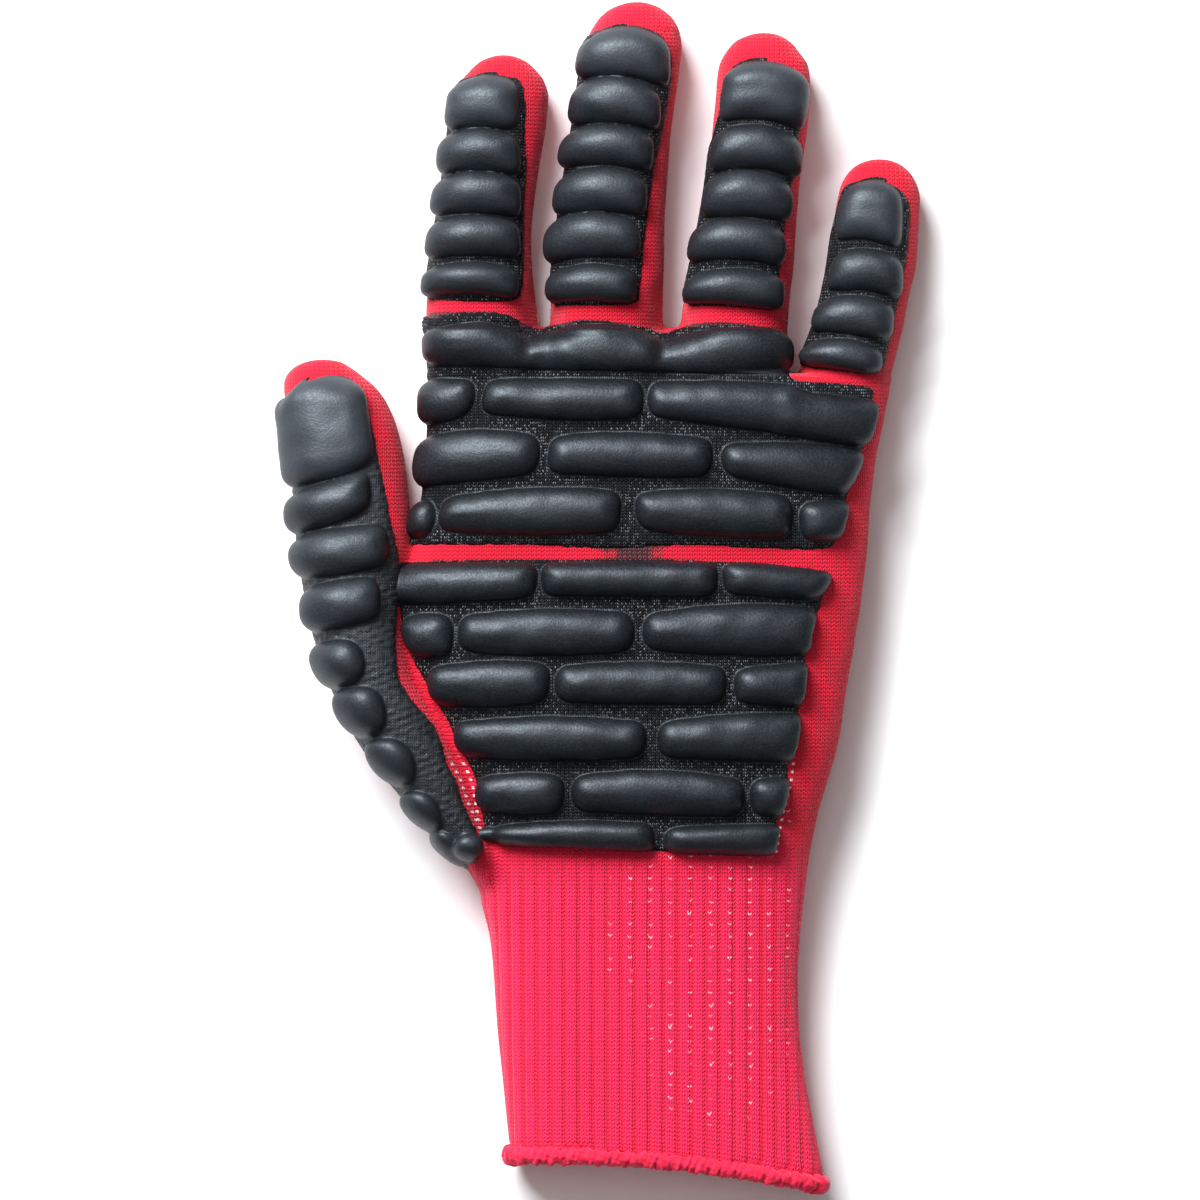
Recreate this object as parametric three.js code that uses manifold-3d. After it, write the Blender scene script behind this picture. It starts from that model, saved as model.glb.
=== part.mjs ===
// Padded impact glove, left hand, lying on its back with the palm up.
// Millimetres. X runs across the palm away from the thumb, Y runs from the cuff
// to the fingertips, Z runs up out of the palm. The back of the glove rests on z = 0.
import * as THREE from "three";
import Module from "manifold-3d";

// ---------------------------------------------------------------- driving sizes
const WALL = 1.5; // thickness of the knit
const SEAT_GAP = 0.6; // clearance between the knit and a pad panel
const CLIMB_GAP = 0.9; // clearance where a panel climbs over a neighbouring form
const SKIN = 1.0; // thickness of a panel's rubber skin
const PAD_RISE = 4.4; // height of a finger or palm cushion above the skin
const THUMB_RISE = 4.0; // height of a thumb cushion above the skin
const HEM_DIAMETER = 3.8; // rolled hem on the cuff
const HEM_GAP = 0.3; // clearance between the cuff's edge and the hem
const HEM_EASE = 0.6; // further room for the slant of the cuff's end
const FLOOR_DROP = 0.7; // how far a round section is flattened where it rests
const DIGIT_SIDES = 12;
const CORE_SIDES = { digit: 10, hand: 18 }; // sides of the hollows
const HAND_SIDES = 28;
const HEM_SIDES = 8;
const SKIN_STEP = 6; // longest step between two rows of a panel's skin
const ORIGIN = { x: -0.26, y: 0.44 }; // centre of the outline, moved onto the frame's origin

// Roundness of the sections: 2 is an ellipse, more is squarer.
const ROUND = { digit: [2.4, 3.0], hand: [3.0, 4.0] };

// ------------------------------------------------------- sections of the knit form
// y: station along the glove, xl and xr: left and right side, zt and zb: top and bottom.
const INDEX = [
  { y: 120.1, xl: -21.3, xr: -21.2, zt: 8, zb: 7.9 },
  { y: 119.7, xl: -24.0, xr: -18.5, zt: 10.6, zb: 4.6 },
  { y: 118.6, xl: -26.6, xr: -16.1, zt: 12.2, zb: 3 },
  { y: 116.6, xl: -28.8, xr: -13.9, zt: 13.4, zb: 1.6 },
  { y: 114.0, xl: -31.0, xr: -12.1, zt: 14.4, zb: 0.7 },
  { y: 110.4, xl: -32.6, xr: -11.4, zt: 15.1, zb: 0.2 },
  { y: 104.5, xl: -33.0, xr: -11.9, zt: 15.6, zb: 0 },
  { y: 96.8, xl: -33.9, xr: -13.2, zt: 16.0, zb: 0 },
  { y: 88.0, xl: -35.0, xr: -14.5, zt: 16.4, zb: 0 },
  { y: 79.2, xl: -36.5, xr: -15.2, zt: 16.8, zb: 0 },
  { y: 70.4, xl: -37.8, xr: -14.7, zt: 17.2, zb: 0 },
  { y: 62.7, xl: -38.3, xr: -13.9, zt: 17.6, zb: 0 },
  { y: 56.1, xl: -37.4, xr: -13.4, zt: 17.4, zb: 0 },
  { y: 44.0, xl: -33.9, xr: -15.0, zt: 13.5, zb: 2 },
];
const MIDDLE = [
  { y: 131.8, xl: 8.1, xr: 8.2, zt: 8, zb: 7.9 },
  { y: 131.3, xl: 4.8, xr: 11.4, zt: 10.6, zb: 4.6 },
  { y: 130.0, xl: 1.8, xr: 14.1, zt: 12.2, zb: 3 },
  { y: 127.6, xl: -0.7, xr: 16.5, zt: 13.4, zb: 1.6 },
  { y: 124.3, xl: -2.6, xr: 17.8, zt: 14.4, zb: 0.7 },
  { y: 121.0, xl: -3.7, xr: 18.0, zt: 15.1, zb: 0.2 },
  { y: 114.4, xl: -4.4, xr: 17.2, zt: 15.7, zb: 0 },
  { y: 104.5, xl: -5.7, xr: 15.8, zt: 16.1, zb: 0 },
  { y: 94.6, xl: -7.3, xr: 15.0, zt: 16.5, zb: 0 },
  { y: 84.7, xl: -8.8, xr: 14.3, zt: 16.9, zb: 0 },
  { y: 73.7, xl: -10.1, xr: 14.1, zt: 17.3, zb: 0 },
  { y: 66.0, xl: -10.8, xr: 13.9, zt: 17.6, zb: 0 },
  { y: 56.1, xl: -11.2, xr: 13.8, zt: 17.6, zb: 0 },
  { y: 44.0, xl: -8.8, xr: 12.1, zt: 13.5, zb: 2 },
];
const RING = [
  { y: 125.0, xl: 36.1, xr: 36.2, zt: 8, zb: 7.9 },
  { y: 124.5, xl: 32.8, xr: 39.4, zt: 10.4, zb: 4.6 },
  { y: 123.2, xl: 29.9, xr: 41.8, zt: 12, zb: 3 },
  { y: 121.0, xl: 27.9, xr: 43.8, zt: 13.2, zb: 1.6 },
  { y: 117.5, xl: 26.2, xr: 46.0, zt: 14.2, zb: 0.7 },
  { y: 113.3, xl: 25.7, xr: 46.4, zt: 15, zb: 0.2 },
  { y: 104.5, xl: 24.9, xr: 45.8, zt: 15.5, zb: 0 },
  { y: 93.5, xl: 23.8, xr: 44.2, zt: 15.9, zb: 0 },
  { y: 83.2, xl: 22.2, xr: 43.3, zt: 16.3, zb: 0 },
  { y: 73.7, xl: 20.2, xr: 42.7, zt: 16.8, zb: 0 },
  { y: 66.0, xl: 18.5, xr: 41.8, zt: 17.2, zb: 0 },
  { y: 56.1, xl: 17.4, xr: 41.2, zt: 17.5, zb: 0 },
  { y: 44.0, xl: 19.8, xr: 39.6, zt: 13.5, zb: 2 },
];
const LITTLE = [
  { y: 97.2, xl: 61.6, xr: 61.7, zt: 7, zb: 6.9 },
  { y: 96.8, xl: 58.7, xr: 64.5, zt: 9.4, zb: 4.2 },
  { y: 95.5, xl: 56.1, xr: 67.1, zt: 10.8, zb: 2.8 },
  { y: 93.3, xl: 54.1, xr: 69.1, zt: 11.9, zb: 1.5 },
  { y: 90.2, xl: 52.8, xr: 70.4, zt: 12.8, zb: 0.6 },
  { y: 86.7, xl: 52.1, xr: 70.6, zt: 13.3, zb: 0.2 },
  { y: 80.3, xl: 51.3, xr: 70.2, zt: 13.8, zb: 0 },
  { y: 73.7, xl: 50.4, xr: 69.7, zt: 14.2, zb: 0 },
  { y: 67.1, xl: 49.1, xr: 68.2, zt: 14.7, zb: 0 },
  { y: 60.5, xl: 47.3, xr: 66.9, zt: 15.2, zb: 0 },
  { y: 53.9, xl: 44.9, xr: 65.3, zt: 15.8, zb: 0 },
  { y: 47.3, xl: 43.3, xr: 63.8, zt: 16.2, zb: 0 },
  { y: 37.4, xl: 46.6, xr: 59.8, zt: 13, zb: 2 },
];
const THUMB = [
  { y: 53.0, xl: -61.2, xr: -61.1, zt: 8, zb: 7.9 },
  { y: 52.6, xl: -64.5, xr: -57.6, zt: 10.6, zb: 4.8 },
  { y: 51.5, xl: -67.1, xr: -55.4, zt: 12.2, zb: 3.2 },
  { y: 49.5, xl: -69.1, xr: -52.6, zt: 13.8, zb: 1.8 },
  { y: 46.9, xl: -69.7, xr: -49.5, zt: 15.2, zb: 0.8 },
  { y: 43.6, xl: -69.3, xr: -47.1, zt: 16.4, zb: 0.2 },
  { y: 37.8, xl: -68.2, xr: -44.7, zt: 17.6, zb: 0 },
  { y: 30.8, xl: -67.5, xr: -43.1, zt: 18.6, zb: 0 },
  { y: 23.1, xl: -66.9, xr: -42.2, zt: 19.6, zb: 0 },
  { y: 14.3, xl: -66.2, xr: -41.6, zt: 20.6, zb: 0 },
  { y: 5.5, xl: -65.1, xr: -42.2, zt: 21.6, zb: 0 },
  { y: -2.6, xl: -63.6, xr: -43.1, zt: 22.6, zb: 0 },
  { y: -9.9, xl: -61.8, xr: -42.5, zt: 23.4, zb: 0 },
  { y: -16.5, xl: -59.6, xr: -40.9, zt: 23.8, zb: 0 },
  { y: -23.1, xl: -56.8, xr: -37.4, zt: 23.8, zb: 0 },
  { y: -30.8, xl: -52.8, xr: -33.0, zt: 23.4, zb: 0 },
  { y: -38.5, xl: -47.1, xr: -29.3, zt: 22.4, zb: 0 },
  { y: -45.8, xl: -40.9, xr: -26.4, zt: 21.0, zb: 0 },
  { y: -52.4, xl: -34.5, xr: -24.0, zt: 19.4, zb: 0 },
  { y: -59.0, xl: -29.5, xr: -22.0, zt: 17.0, zb: 1 },
  { y: -62.5, xl: -26.8, xr: -22.0, zt: 14.0, zb: 3 },
];
// The low bridge of cloth between the thumb's stall and the palm.
const SADDLE = [
  { y: 8.0, xl: -57.0, xr: -36.0, zt: 11.0, zb: 3 },
  { y: 3.3, xl: -58.0, xr: -33.0, zt: 13.5, zb: 0 },
  { y: -8.8, xl: -56.0, xr: -27.0, zt: 14.5, zb: 0 },
  { y: -22.0, xl: -51.0, xr: -20.5, zt: 14.5, zb: 0 },
  { y: -35.2, xl: -43.3, xr: -16.0, zt: 14.5, zb: 0 },
  { y: -48.4, xl: -33.4, xr: -12.0, zt: 13.5, zb: 0 },
  { y: -56.0, xl: -28.0, xr: -12.0, zt: 12.0, zb: 0 },
];
// Palm, wrist and cuff. drop: how much lower the right side of a section lies,
// bow: how much higher its middle lies, so that the cuff's end runs in a wave.
const HAND = [
  { y: 60.2, xl: -35.5, xr: 39.0, zt: 11.0, zb: 5.0, drop: 0, bow: 0 },
  { y: 59.0, xl: -37.4, xr: 40.6, zt: 15.0, zb: 2.0, drop: 0, bow: 0 },
  { y: 56.8, xl: -37.8, xr: 41.4, zt: 17.2, zb: 0, drop: 0, bow: 0 },
  { y: 52.0, xl: -37.3, xr: 41.6, zt: 18.4, zb: 0, drop: 0, bow: 0 },
  { y: 48.6, xl: -37.2, xr: 63.6, zt: 18.8, zb: 0, drop: 0, bow: 0 },
  { y: 39.6, xl: -37.4, xr: 62.5, zt: 19.5, zb: 0, drop: 0, bow: 0 },
  { y: 30.8, xl: -37.8, xr: 60.7, zt: 20.0, zb: 0, drop: 0, bow: 0 },
  { y: 22.0, xl: -38.7, xr: 59.6, zt: 20.3, zb: 0, drop: 0, bow: 0 },
  { y: 13.2, xl: -40.9, xr: 59.0, zt: 20.5, zb: 0, drop: 0, bow: 0 },
  { y: 6.2, xl: -43.6, xr: 58.3, zt: 20.7, zb: 0, drop: 0, bow: 0 },
  { y: -1.1, xl: -44.9, xr: 57.4, zt: 21.0, zb: 0, drop: 0, bow: 0 },
  { y: -8.8, xl: -44.9, xr: 56.1, zt: 21.2, zb: 0, drop: 0, bow: 0 },
  { y: -15.4, xl: -43.6, xr: 55.0, zt: 21.3, zb: 0, drop: 0, bow: 0 },
  { y: -23.1, xl: -39.8, xr: 53.7, zt: 21.3, zb: 0, drop: 0, bow: 0 },
  { y: -30.8, xl: -35.2, xr: 52.6, zt: 21.1, zb: 0, drop: 0, bow: 0 },
  { y: -39.6, xl: -31.0, xr: 50.2, zt: 20.6, zb: 0, drop: 0, bow: 0 },
  { y: -48.4, xl: -28.4, xr: 47.7, zt: 19.9, zb: 0, drop: 0, bow: 0 },
  { y: -57.2, xl: -27.1, xr: 46.0, zt: 19.0, zb: 0, drop: 0, bow: 0 },
  { y: -66.0, xl: -26.2, xr: 44.9, zt: 18.2, zb: 0, drop: 0, bow: 0 },
  { y: -74.8, xl: -24.2, xr: 44.0, zt: 17.6, zb: 0, drop: 0, bow: 0 },
  { y: -84.7, xl: -23.3, xr: 43.6, zt: 17.2, zb: 0, drop: 0, bow: 0 },
  { y: -93.5, xl: -22.7, xr: 43.9, zt: 17.0, zb: 0, drop: 0.6, bow: 0.2 },
  { y: -102.3, xl: -21.8, xr: 45.0, zt: 16.8, zb: 0, drop: 2.0, bow: 0.8 },
  { y: -111.1, xl: -20.9, xr: 47.0, zt: 16.6, zb: 0, drop: 4.2, bow: 1.6 },
  { y: -119.9, xl: -20.0, xr: 49.2, zt: 16.4, zb: 0, drop: 6.6, bow: 2.4 },
];

// ------------------------------------------------------------- skins of the panels
// y: station, xl and xr: left and right edge. An edge past the form's side wraps round it.
const SKIN_INDEX = [
  { y: 115.2, xl: -29.98, xr: -18.2 },
  { y: 113.2, xl: -31.36, xr: -16.9 },
  { y: 104.5, xl: -33, xr: -16.5 },
  { y: 90.5, xl: -34.69, xr: -16.3 },
  { y: 77, xl: -36.83, xr: -16.7 },
  { y: 65.4, xl: -38.12, xr: -17 },
];
const SKIN_MIDDLE = [
  { y: 126.2, xl: -1.51, xr: 12.6 },
  { y: 123, xl: -3.03, xr: 15.6 },
  { y: 113.3, xl: -4.54, xr: 14.6 },
  { y: 99, xl: -6.59, xr: 12 },
  { y: 82.5, xl: -9.06, xr: 9.6 },
  { y: 72.6, xl: -10.2, xr: 9 },
  { y: 64.5, xl: -10.86, xr: 8.8 },
];
const SKIN_RING = [
  { y: 118.4, xl: 26.74, xr: 42.4 },
  { y: 115.5, xl: 26.06, xr: 44.4 },
  { y: 104.5, xl: 25, xr: 43.8 },
  { y: 91.3, xl: 23.56, xr: 42 },
  { y: 79, xl: 21.42, xr: 40 },
  { y: 62.6, xl: 18.22, xr: 39.4 },
];
const SKIN_LITTLE = [
  { y: 92.3, xl: 53.88, xr: 65.6 },
  { y: 90, xl: 52.96, xr: 68.2 },
  { y: 79.2, xl: 51.35, xr: 68 },
  { y: 65.8, xl: 48.95, xr: 65.6 },
  { y: 51.6, xl: 44.84, xr: 62 },
];
const SKIN_THUMB = [
  { y: 48.7, xl: -69.28, xr: -53.4 },
  { y: 44, xl: -69.35, xr: -51.7 },
  { y: 37.4, xl: -68.16, xr: -50.2 },
  { y: 24.2, xl: -66.99, xr: -47.4 },
  { y: 12.1, xl: -65.92, xr: -45.4 },
  { y: 3.3, xl: -64.69, xr: -45.6 },
  { y: -8.8, xl: -62.07, xr: -46.2 },
  { y: -15.4, xl: -59.97, xr: -45.8 },
  { y: -22, xl: -57.27, xr: -43.6 },
  { y: -27.5, xl: -54.51, xr: -40.4 },
  { y: -34.1, xl: -50.36, xr: -36.6 },
  { y: -41.8, xl: -44.3, xr: -32.4 },
  { y: -49.5, xl: -37.31, xr: -28.2 },
  { y: -54, xl: -33.29, xr: -26.4 },
  { y: -57.6, xl: -30.56, xr: -26.8 },
];
// The upper palm panel is narrower under the first three fingers than below them.
// wave: how far its upper edge dips between the fingers.
const SKIN_UPPER = [
  { y: 62.4, xl: -37.9, xr: 37.6, wave: 2.6 },
  { y: 58, xl: -37.56, xr: 37.6, wave: 0 },
  { y: 49.6, xl: -37.21, xr: 38.2, wave: 0 },
  { y: 47.9, xl: -37.2, xr: 58.4, wave: 0 },
  { y: 39.6, xl: -37.38, xr: 58.6, wave: 0 },
  { y: 31, xl: -37.77, xr: 56.6, wave: 0 },
  { y: 22, xl: -38.48, xr: 53.8, wave: 0 },
  { y: 11.6, xl: -41.30, xr: 51.2, wave: 0 },
];
const SKIN_LOWER = [
  { y: 8.4, xl: -41.6, xr: 50.4 },
  { y: 1.8, xl: -41.8, xr: 48 },
  { y: -6.6, xl: -41.2, xr: 45.4 },
  { y: -14.3, xl: -39.4, xr: 44.8 },
  { y: -21.6, xl: -35.8, xr: 43.6 },
  { y: -29.7, xl: -31.4, xr: 42.4 },
  { y: -38, xl: -27.4, xr: 40.9 },
  { y: -47.3, xl: -26, xr: 38.8 },
  { y: -54, xl: -25, xr: 37.4 },
];

// ------------------------------------------------------------------- the cushions
// xl and xr: left and right end, tl and tr: top edge at those ends, bl and br: bottom
// edge at those ends, arch: how far both long edges bow towards the fingertips.
const CUSHIONS_INDEX = [
  { xl: -31.06, xr: -17, tl: 113.6, tr: 113.6, bl: 102.9, br: 102.6, arch: 1.3 },
  { xl: -33.27, xr: -16.7, tl: 101.2, tr: 101, bl: 92.8, br: 92.6, arch: 1.6 },
  { xl: -34.48, xr: -16.9, tl: 91.2, tr: 91.8, bl: 83.8, br: 83.4, arch: 1.6 },
  { xl: -35.77, xr: -17.2, tl: 82.8, tr: 82.6, bl: 74.4, br: 74.6, arch: 1.4 },
  { xl: -37.44, xr: -17.2, tl: 72, tr: 72, bl: 66.2, br: 65.9, arch: 1.2 },
];
const CUSHIONS_MIDDLE = [
  { xl: -3.05, xr: 15.6, tl: 122.6, tr: 121, bl: 113.6, br: 112.2, arch: 2 },
  { xl: -4.57, xr: 13.6, tl: 112.2, tr: 110.8, bl: 103.4, br: 102.4, arch: 1.8 },
  { xl: -6.11, xr: 12, tl: 101.2, tr: 100.8, bl: 94.4, br: 93.2, arch: 1.8 },
  { xl: -7.57, xr: 10.7, tl: 92, tr: 92, bl: 83.8, br: 83.6, arch: 2 },
  { xl: -8.95, xr: 9.4, tl: 82.4, tr: 82.2, bl: 73, br: 72.6, arch: 2 },
  { xl: -10.28, xr: 8.6, tl: 70.4, tr: 71, bl: 65.2, br: 64.6, arch: 1.8 },
];
const CUSHIONS_RING = [
  { xl: 26.42, xr: 44.4, tl: 116.4, tr: 114.2, bl: 105.2, br: 102.6, arch: 1.4 },
  { xl: 25.06, xr: 42.8, tl: 102.6, tr: 101, bl: 93.4, br: 91.8, arch: 1.6 },
  { xl: 23.95, xr: 41, tl: 92.2, tr: 91.2, bl: 84, br: 82.6, arch: 1.4 },
  { xl: 22.3, xr: 39.8, tl: 82, tr: 81.2, bl: 74.2, br: 72.6, arch: 1.8 },
  { xl: 19.91, xr: 39.2, tl: 70.8, tr: 70.4, bl: 65.2, br: 63.4, arch: 1.2 },
];
const CUSHIONS_LITTLE = [
  { xl: 53.72, xr: 68.2, tl: 91.2, tr: 89.6, bl: 78.6, br: 76.4, arch: 1.2 },
  { xl: 51.19, xr: 67, tl: 75.8, tr: 74.8, bl: 67.6, br: 65.4, arch: 1 },
  { xl: 49.08, xr: 64.8, tl: 65.2, tr: 64.4, bl: 58.9, br: 56.6, arch: 0.6 },
  { xl: 46.13, xr: 62.2, tl: 55.9, tr: 55, bl: 52.6, br: 51.2, arch: 0.6 },
];
const CUSHIONS_THUMB = [
  { xl: -67.65, xr: -50.6, tl: 46, tr: 46.4, bl: 24.6, br: 29.6, arch: 1 },
  { xl: -66.21, xr: -51, tl: 22.6, tr: 28.6, bl: 13.8, br: 19.8, arch: 0.6 },
  { xl: -65.28, xr: -47.6, tl: 14, tr: 16.8, bl: 4.6, br: 7.6, arch: 0.8 },
  { xl: -63.2, xr: -49.2, tl: 1.4, tr: 5.4, bl: -7.4, br: -4, arch: 0.8 },
  { xl: -59.93, xr: -51.8, tl: -9.6, tr: -8.6, bl: -19.6, br: -17.6, arch: 0.6 },
  { xl: -55.25, xr: -47.4, tl: -20.8, tr: -18.8, bl: -30.2, br: -29, arch: 0.4 },
  { xl: -48.28, xr: -40.8, tl: -32, tr: -30.6, bl: -41, br: -40, arch: 0.4 },
  { xl: -39.24, xr: -35.8, tl: -43.6, tr: -42.8, bl: -50.8, br: -50, arch: 0.2 },
  { xl: -32.68, xr: -30.4, tl: -51.6, tr: -51.2, bl: -57.2, br: -56.8, arch: 0.2 },
];
const CUSHIONS_UPPER = [
  { xl: -37.19, xr: -15.6, tl: 60, tr: 59, bl: 51.4, br: 51.6, arch: 0.7 },
  { xl: -16.4, xr: 14.2, tl: 59, tr: 58.8, bl: 51.2, br: 50.6, arch: 0.9 },
  { xl: 13.2, xr: 37.2, tl: 58.8, tr: 57.6, bl: 50, br: 49.4, arch: 0.6 },
  { xl: -37.22, xr: -27.4, tl: 47.2, tr: 46.6, bl: 39.4, br: 39.6, arch: 0.8 },
  { xl: -25.8, xr: 8.4, tl: 46.2, tr: 47.4, bl: 40.6, br: 39.6, arch: 0.5 },
  { xl: 10.6, xr: 59.2, tl: 47.6, tr: 44, bl: 40.2, br: 33.6, arch: 1 },
  { xl: -37.8, xr: -13.4, tl: 35.2, tr: 36.2, bl: 26.4, br: 27.8, arch: 0.8 },
  { xl: -10.6, xr: 24, tl: 36.2, tr: 35.6, bl: 27, br: 26.8, arch: 0.4 },
  { xl: 26.6, xr: 56.4, tl: 34.8, tr: 32, bl: 25.8, br: 22.4, arch: 0.8 },
  { xl: -39, xr: -36.2, tl: 21.4, tr: 21.4, bl: 13.6, br: 13.6, arch: 0.2 },
  { xl: -34.4, xr: 4.4, tl: 23, tr: 23.4, bl: 14.2, br: 14.4, arch: 0.6 },
  { xl: 8.2, xr: 41.8, tl: 23.4, tr: 22.4, bl: 14.4, br: 13.4, arch: 0.6 },
  { xl: 44, xr: 52.4, tl: 21.4, tr: 21, bl: 13.6, br: 13.2, arch: 0.2 },
];
const CUSHIONS_LOWER = [
  { xl: -41.2, xr: -15, tl: 7, tr: 7.6, bl: 0.2, br: 0.4, arch: 0.8 },
  { xl: -12.6, xr: 25.8, tl: 8, tr: 8, bl: 0.4, br: 0.4, arch: 0.4 },
  { xl: 27.2, xr: 49.8, tl: 7.6, tr: 5.4, bl: 0.8, br: 0.8, arch: 0.2 },
  { xl: -40.6, xr: -32, tl: -3.4, tr: -3.2, bl: -12.2, br: -12.4, arch: 0.3 },
  { xl: -30.4, xr: 7, tl: -3.4, tr: -3.6, bl: -11.6, br: -11.6, arch: 0.6 },
  { xl: 9.6, xr: 45.6, tl: -4, tr: -2.8, bl: -11.4, br: -11.2, arch: 0.4 },
  { xl: -37.6, xr: -11.4, tl: -14.8, tr: -14.4, bl: -23, br: -22.6, arch: 0.9 },
  { xl: -9.2, xr: 26.6, tl: -14, tr: -14, bl: -22.2, br: -22.2, arch: 0.4 },
  { xl: 29.8, xr: 43.6, tl: -14.8, tr: -15, bl: -23.2, br: -23, arch: 0.2 },
  { xl: -31.8, xr: 10.4, tl: -27.2, tr: -26.8, bl: -34.6, br: -34.6, arch: 0.7 },
  { xl: 13.2, xr: 41.6, tl: -27.2, tr: -26.4, bl: -34.4, br: -33.8, arch: 0.7 },
  { xl: -26.6, xr: -8.8, tl: -39, tr: -38.2, bl: -47, br: -47, arch: 0.5 },
  { xl: -6, xr: 30.4, tl: -38.2, tr: -38, bl: -47, br: -47, arch: 0.3 },
  { xl: 33, xr: 39.8, tl: -39, tr: -39, bl: -46.6, br: -46.6, arch: 0.2 },
  { xl: -22, xr: 11.2, tl: -50, tr: -49.6, bl: -53.6, br: -53.8, arch: 0.6 },
  { xl: 13.8, xr: 37.6, tl: -50, tr: -49.8, bl: -53.8, br: -53.8, arch: 0.2 },
];

// --------------------------------------------------------------- section geometry
const FORMS = {
  index: { rows: INDEX, round: ROUND.digit, sides: DIGIT_SIDES },
  middle: { rows: MIDDLE, round: ROUND.digit, sides: DIGIT_SIDES },
  ring: { rows: RING, round: ROUND.digit, sides: DIGIT_SIDES },
  little: { rows: LITTLE, round: ROUND.digit, sides: DIGIT_SIDES },
  thumb: { rows: THUMB, round: ROUND.digit, sides: DIGIT_SIDES },
  saddle: { rows: SADDLE, round: ROUND.hand, sides: DIGIT_SIDES },
  hand: { rows: HAND, round: ROUND.hand, sides: HAND_SIDES },
};

// The palm panels ride on the hand's sections, carried on level under the fingers' roots.
const PALM_SEAT = {
  rows: [{ y: 64, xl: -38.2, xr: 41.4, zt: 17.0, zb: 0, drop: 0, bow: 0 }, ...HAND.slice(2)],
  round: ROUND.hand,
  extends: FORMS.hand,
};

// A point of a section at an angle: 0 is its right side, 90 degrees its top.
function sectionPoint(row, round, angle) {
  const middle = row.zb + 0.42 * (row.zt - row.zb);
  const half = (row.xr - row.xl) / 2;
  const drop = FLOOR_DROP * Math.min(1, half / 10);
  const c = Math.cos(angle),
    s = Math.sin(angle);
  const n = s >= 0 ? round[0] : round[1];
  const rise = s >= 0 ? row.zt - middle : middle - row.zb + drop;
  const x =
    (row.xl + row.xr) / 2 +
    half * Math.sign(c) * Math.pow(Math.abs(c), 2 / n);
  const z = middle + rise * Math.sign(s) * Math.pow(Math.abs(s), 2 / n);
  return [x, Math.max(z, row.zb)];
}

// The section at any station, between the two rows of the table on either side of it.
function rowAt(rows, y) {
  if (y >= rows[0].y) return rows[0];
  for (let i = 1; i < rows.length; i++)
    if (y >= rows[i].y) {
      const a = rows[i - 1],
        b = rows[i],
        t = (a.y - y) / (a.y - b.y),
        row = {};
      for (const key of Object.keys(a)) row[key] = a[key] + (b[key] - a[key]) * t;
      return row;
    }
  return rows[rows.length - 1];
}

// The same form a wall's thickness further in.
function inset(rows, wall) {
  return rows.map((row, i) => {
    const before = rows[Math.max(0, i - 1)],
      after = rows[Math.min(rows.length - 1, i + 1)];
    const halfOf = (r) => (r.xr - r.xl) / 2;
    let dy = before.y - after.y,
      da = halfOf(after) - halfOf(before);
    if (i === 0) (dy = 0), (da = 1);
    const length = Math.hypot(dy, da) || 1;
    const side = dy / length; // share of the wall that goes off each side
    const end = Math.max(0, da / length); // share that goes off the end
    const narrow = Math.min(wall * side, halfOf(row) - 0.05);
    const low = Math.min(wall * side, (row.zt - row.zb) / 2 - 0.05);
    return {
      ...row,
      y: row.y - wall * end,
      xl: row.xl + narrow,
      xr: row.xr - narrow,
      zt: row.zt - low,
      zb: row.zb + low,
    };
  });
}

// A closed body from rings of points: each ring has the same number of points.
function bodyFromRings(rings, closedLoop) {
  const n = rings[0].length,
    m = rings.length,
    vertices = rings.flat(),
    faces = [];
  const last = closedLoop ? m : m - 1;
  for (let i = 0; i < last; i++)
    for (let j = 0; j < n; j++) {
      const a = i * n + j,
        b = i * n + ((j + 1) % n),
        c = ((i + 1) % m) * n + j,
        d = ((i + 1) % m) * n + ((j + 1) % n);
      faces.push([a, c, b], [b, c, d]);
    }
  if (!closedLoop) {
    const fan = (start, flip) => {
      for (let j = 1; j < n - 1; j++)
        faces.push(
          flip
            ? [start, start + j + 1, start + j]
            : [start, start + j, start + j + 1],
        );
    };
    fan(0, false);
    fan((m - 1) * n, true);
  }
  return { vertices, faces };
}

const library = await Module();
library.setup();
function solid({ vertices, faces }) {
  const make = (turned) =>
    new library.Manifold(
      new library.Mesh({
        numProp: 3,
        vertProperties: new Float32Array(vertices.flat()),
        triVerts: new Uint32Array(
          faces.flatMap(([a, b, c]) => (turned ? [a, c, b] : [a, b, c])),
        ),
      }),
    );
  const made = make(false);
  return made.volume() < 0 ? make(true) : made;
}

function loft(rows, round, sides) {
  return solid(
    bodyFromRings(
      rows.map((row) => {
        const ring = [];
        for (let j = 0; j < sides; j++) {
          const [x, z] = sectionPoint(row, round, (2 * Math.PI * (j + 0.5)) / sides);
          const t = (x - row.xl) / Math.max(1e-6, row.xr - row.xl);
          const y =
            row.y - (row.drop || 0) * t + (row.bow || 0) * 4 * t * (1 - t);
          ring.push([x, y, z]);
        }
        return ring;
      }),
      false,
    ),
  );
}

// ------------------------------------------------------------------ the knit liner
function makeLiner() {
  let outer = null,
    inner = null;
  for (const form of Object.values(FORMS)) {
    const skin = loft(form.rows, form.round, form.sides);
    outer = outer ? outer.add(skin) : skin;
    // the hollow: the closed end in full, then every second section
    let rows = inset(form.rows, WALL).filter(
      (row, i, all) => i < 5 || i % 2 === 0 || i === all.length - 1,
    );
    if (form === FORMS.hand) {
      const end = rows[rows.length - 1];
      rows = [...rows, { ...end, y: end.y - 4 }];
    }
    const core = loft(
      rows,
      form.round,
      form === FORMS.hand ? CORE_SIDES.hand : CORE_SIDES.digit,
    );
    inner = inner ? inner.add(core) : core;
  }
  return outer.subtract(inner);
}

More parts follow.
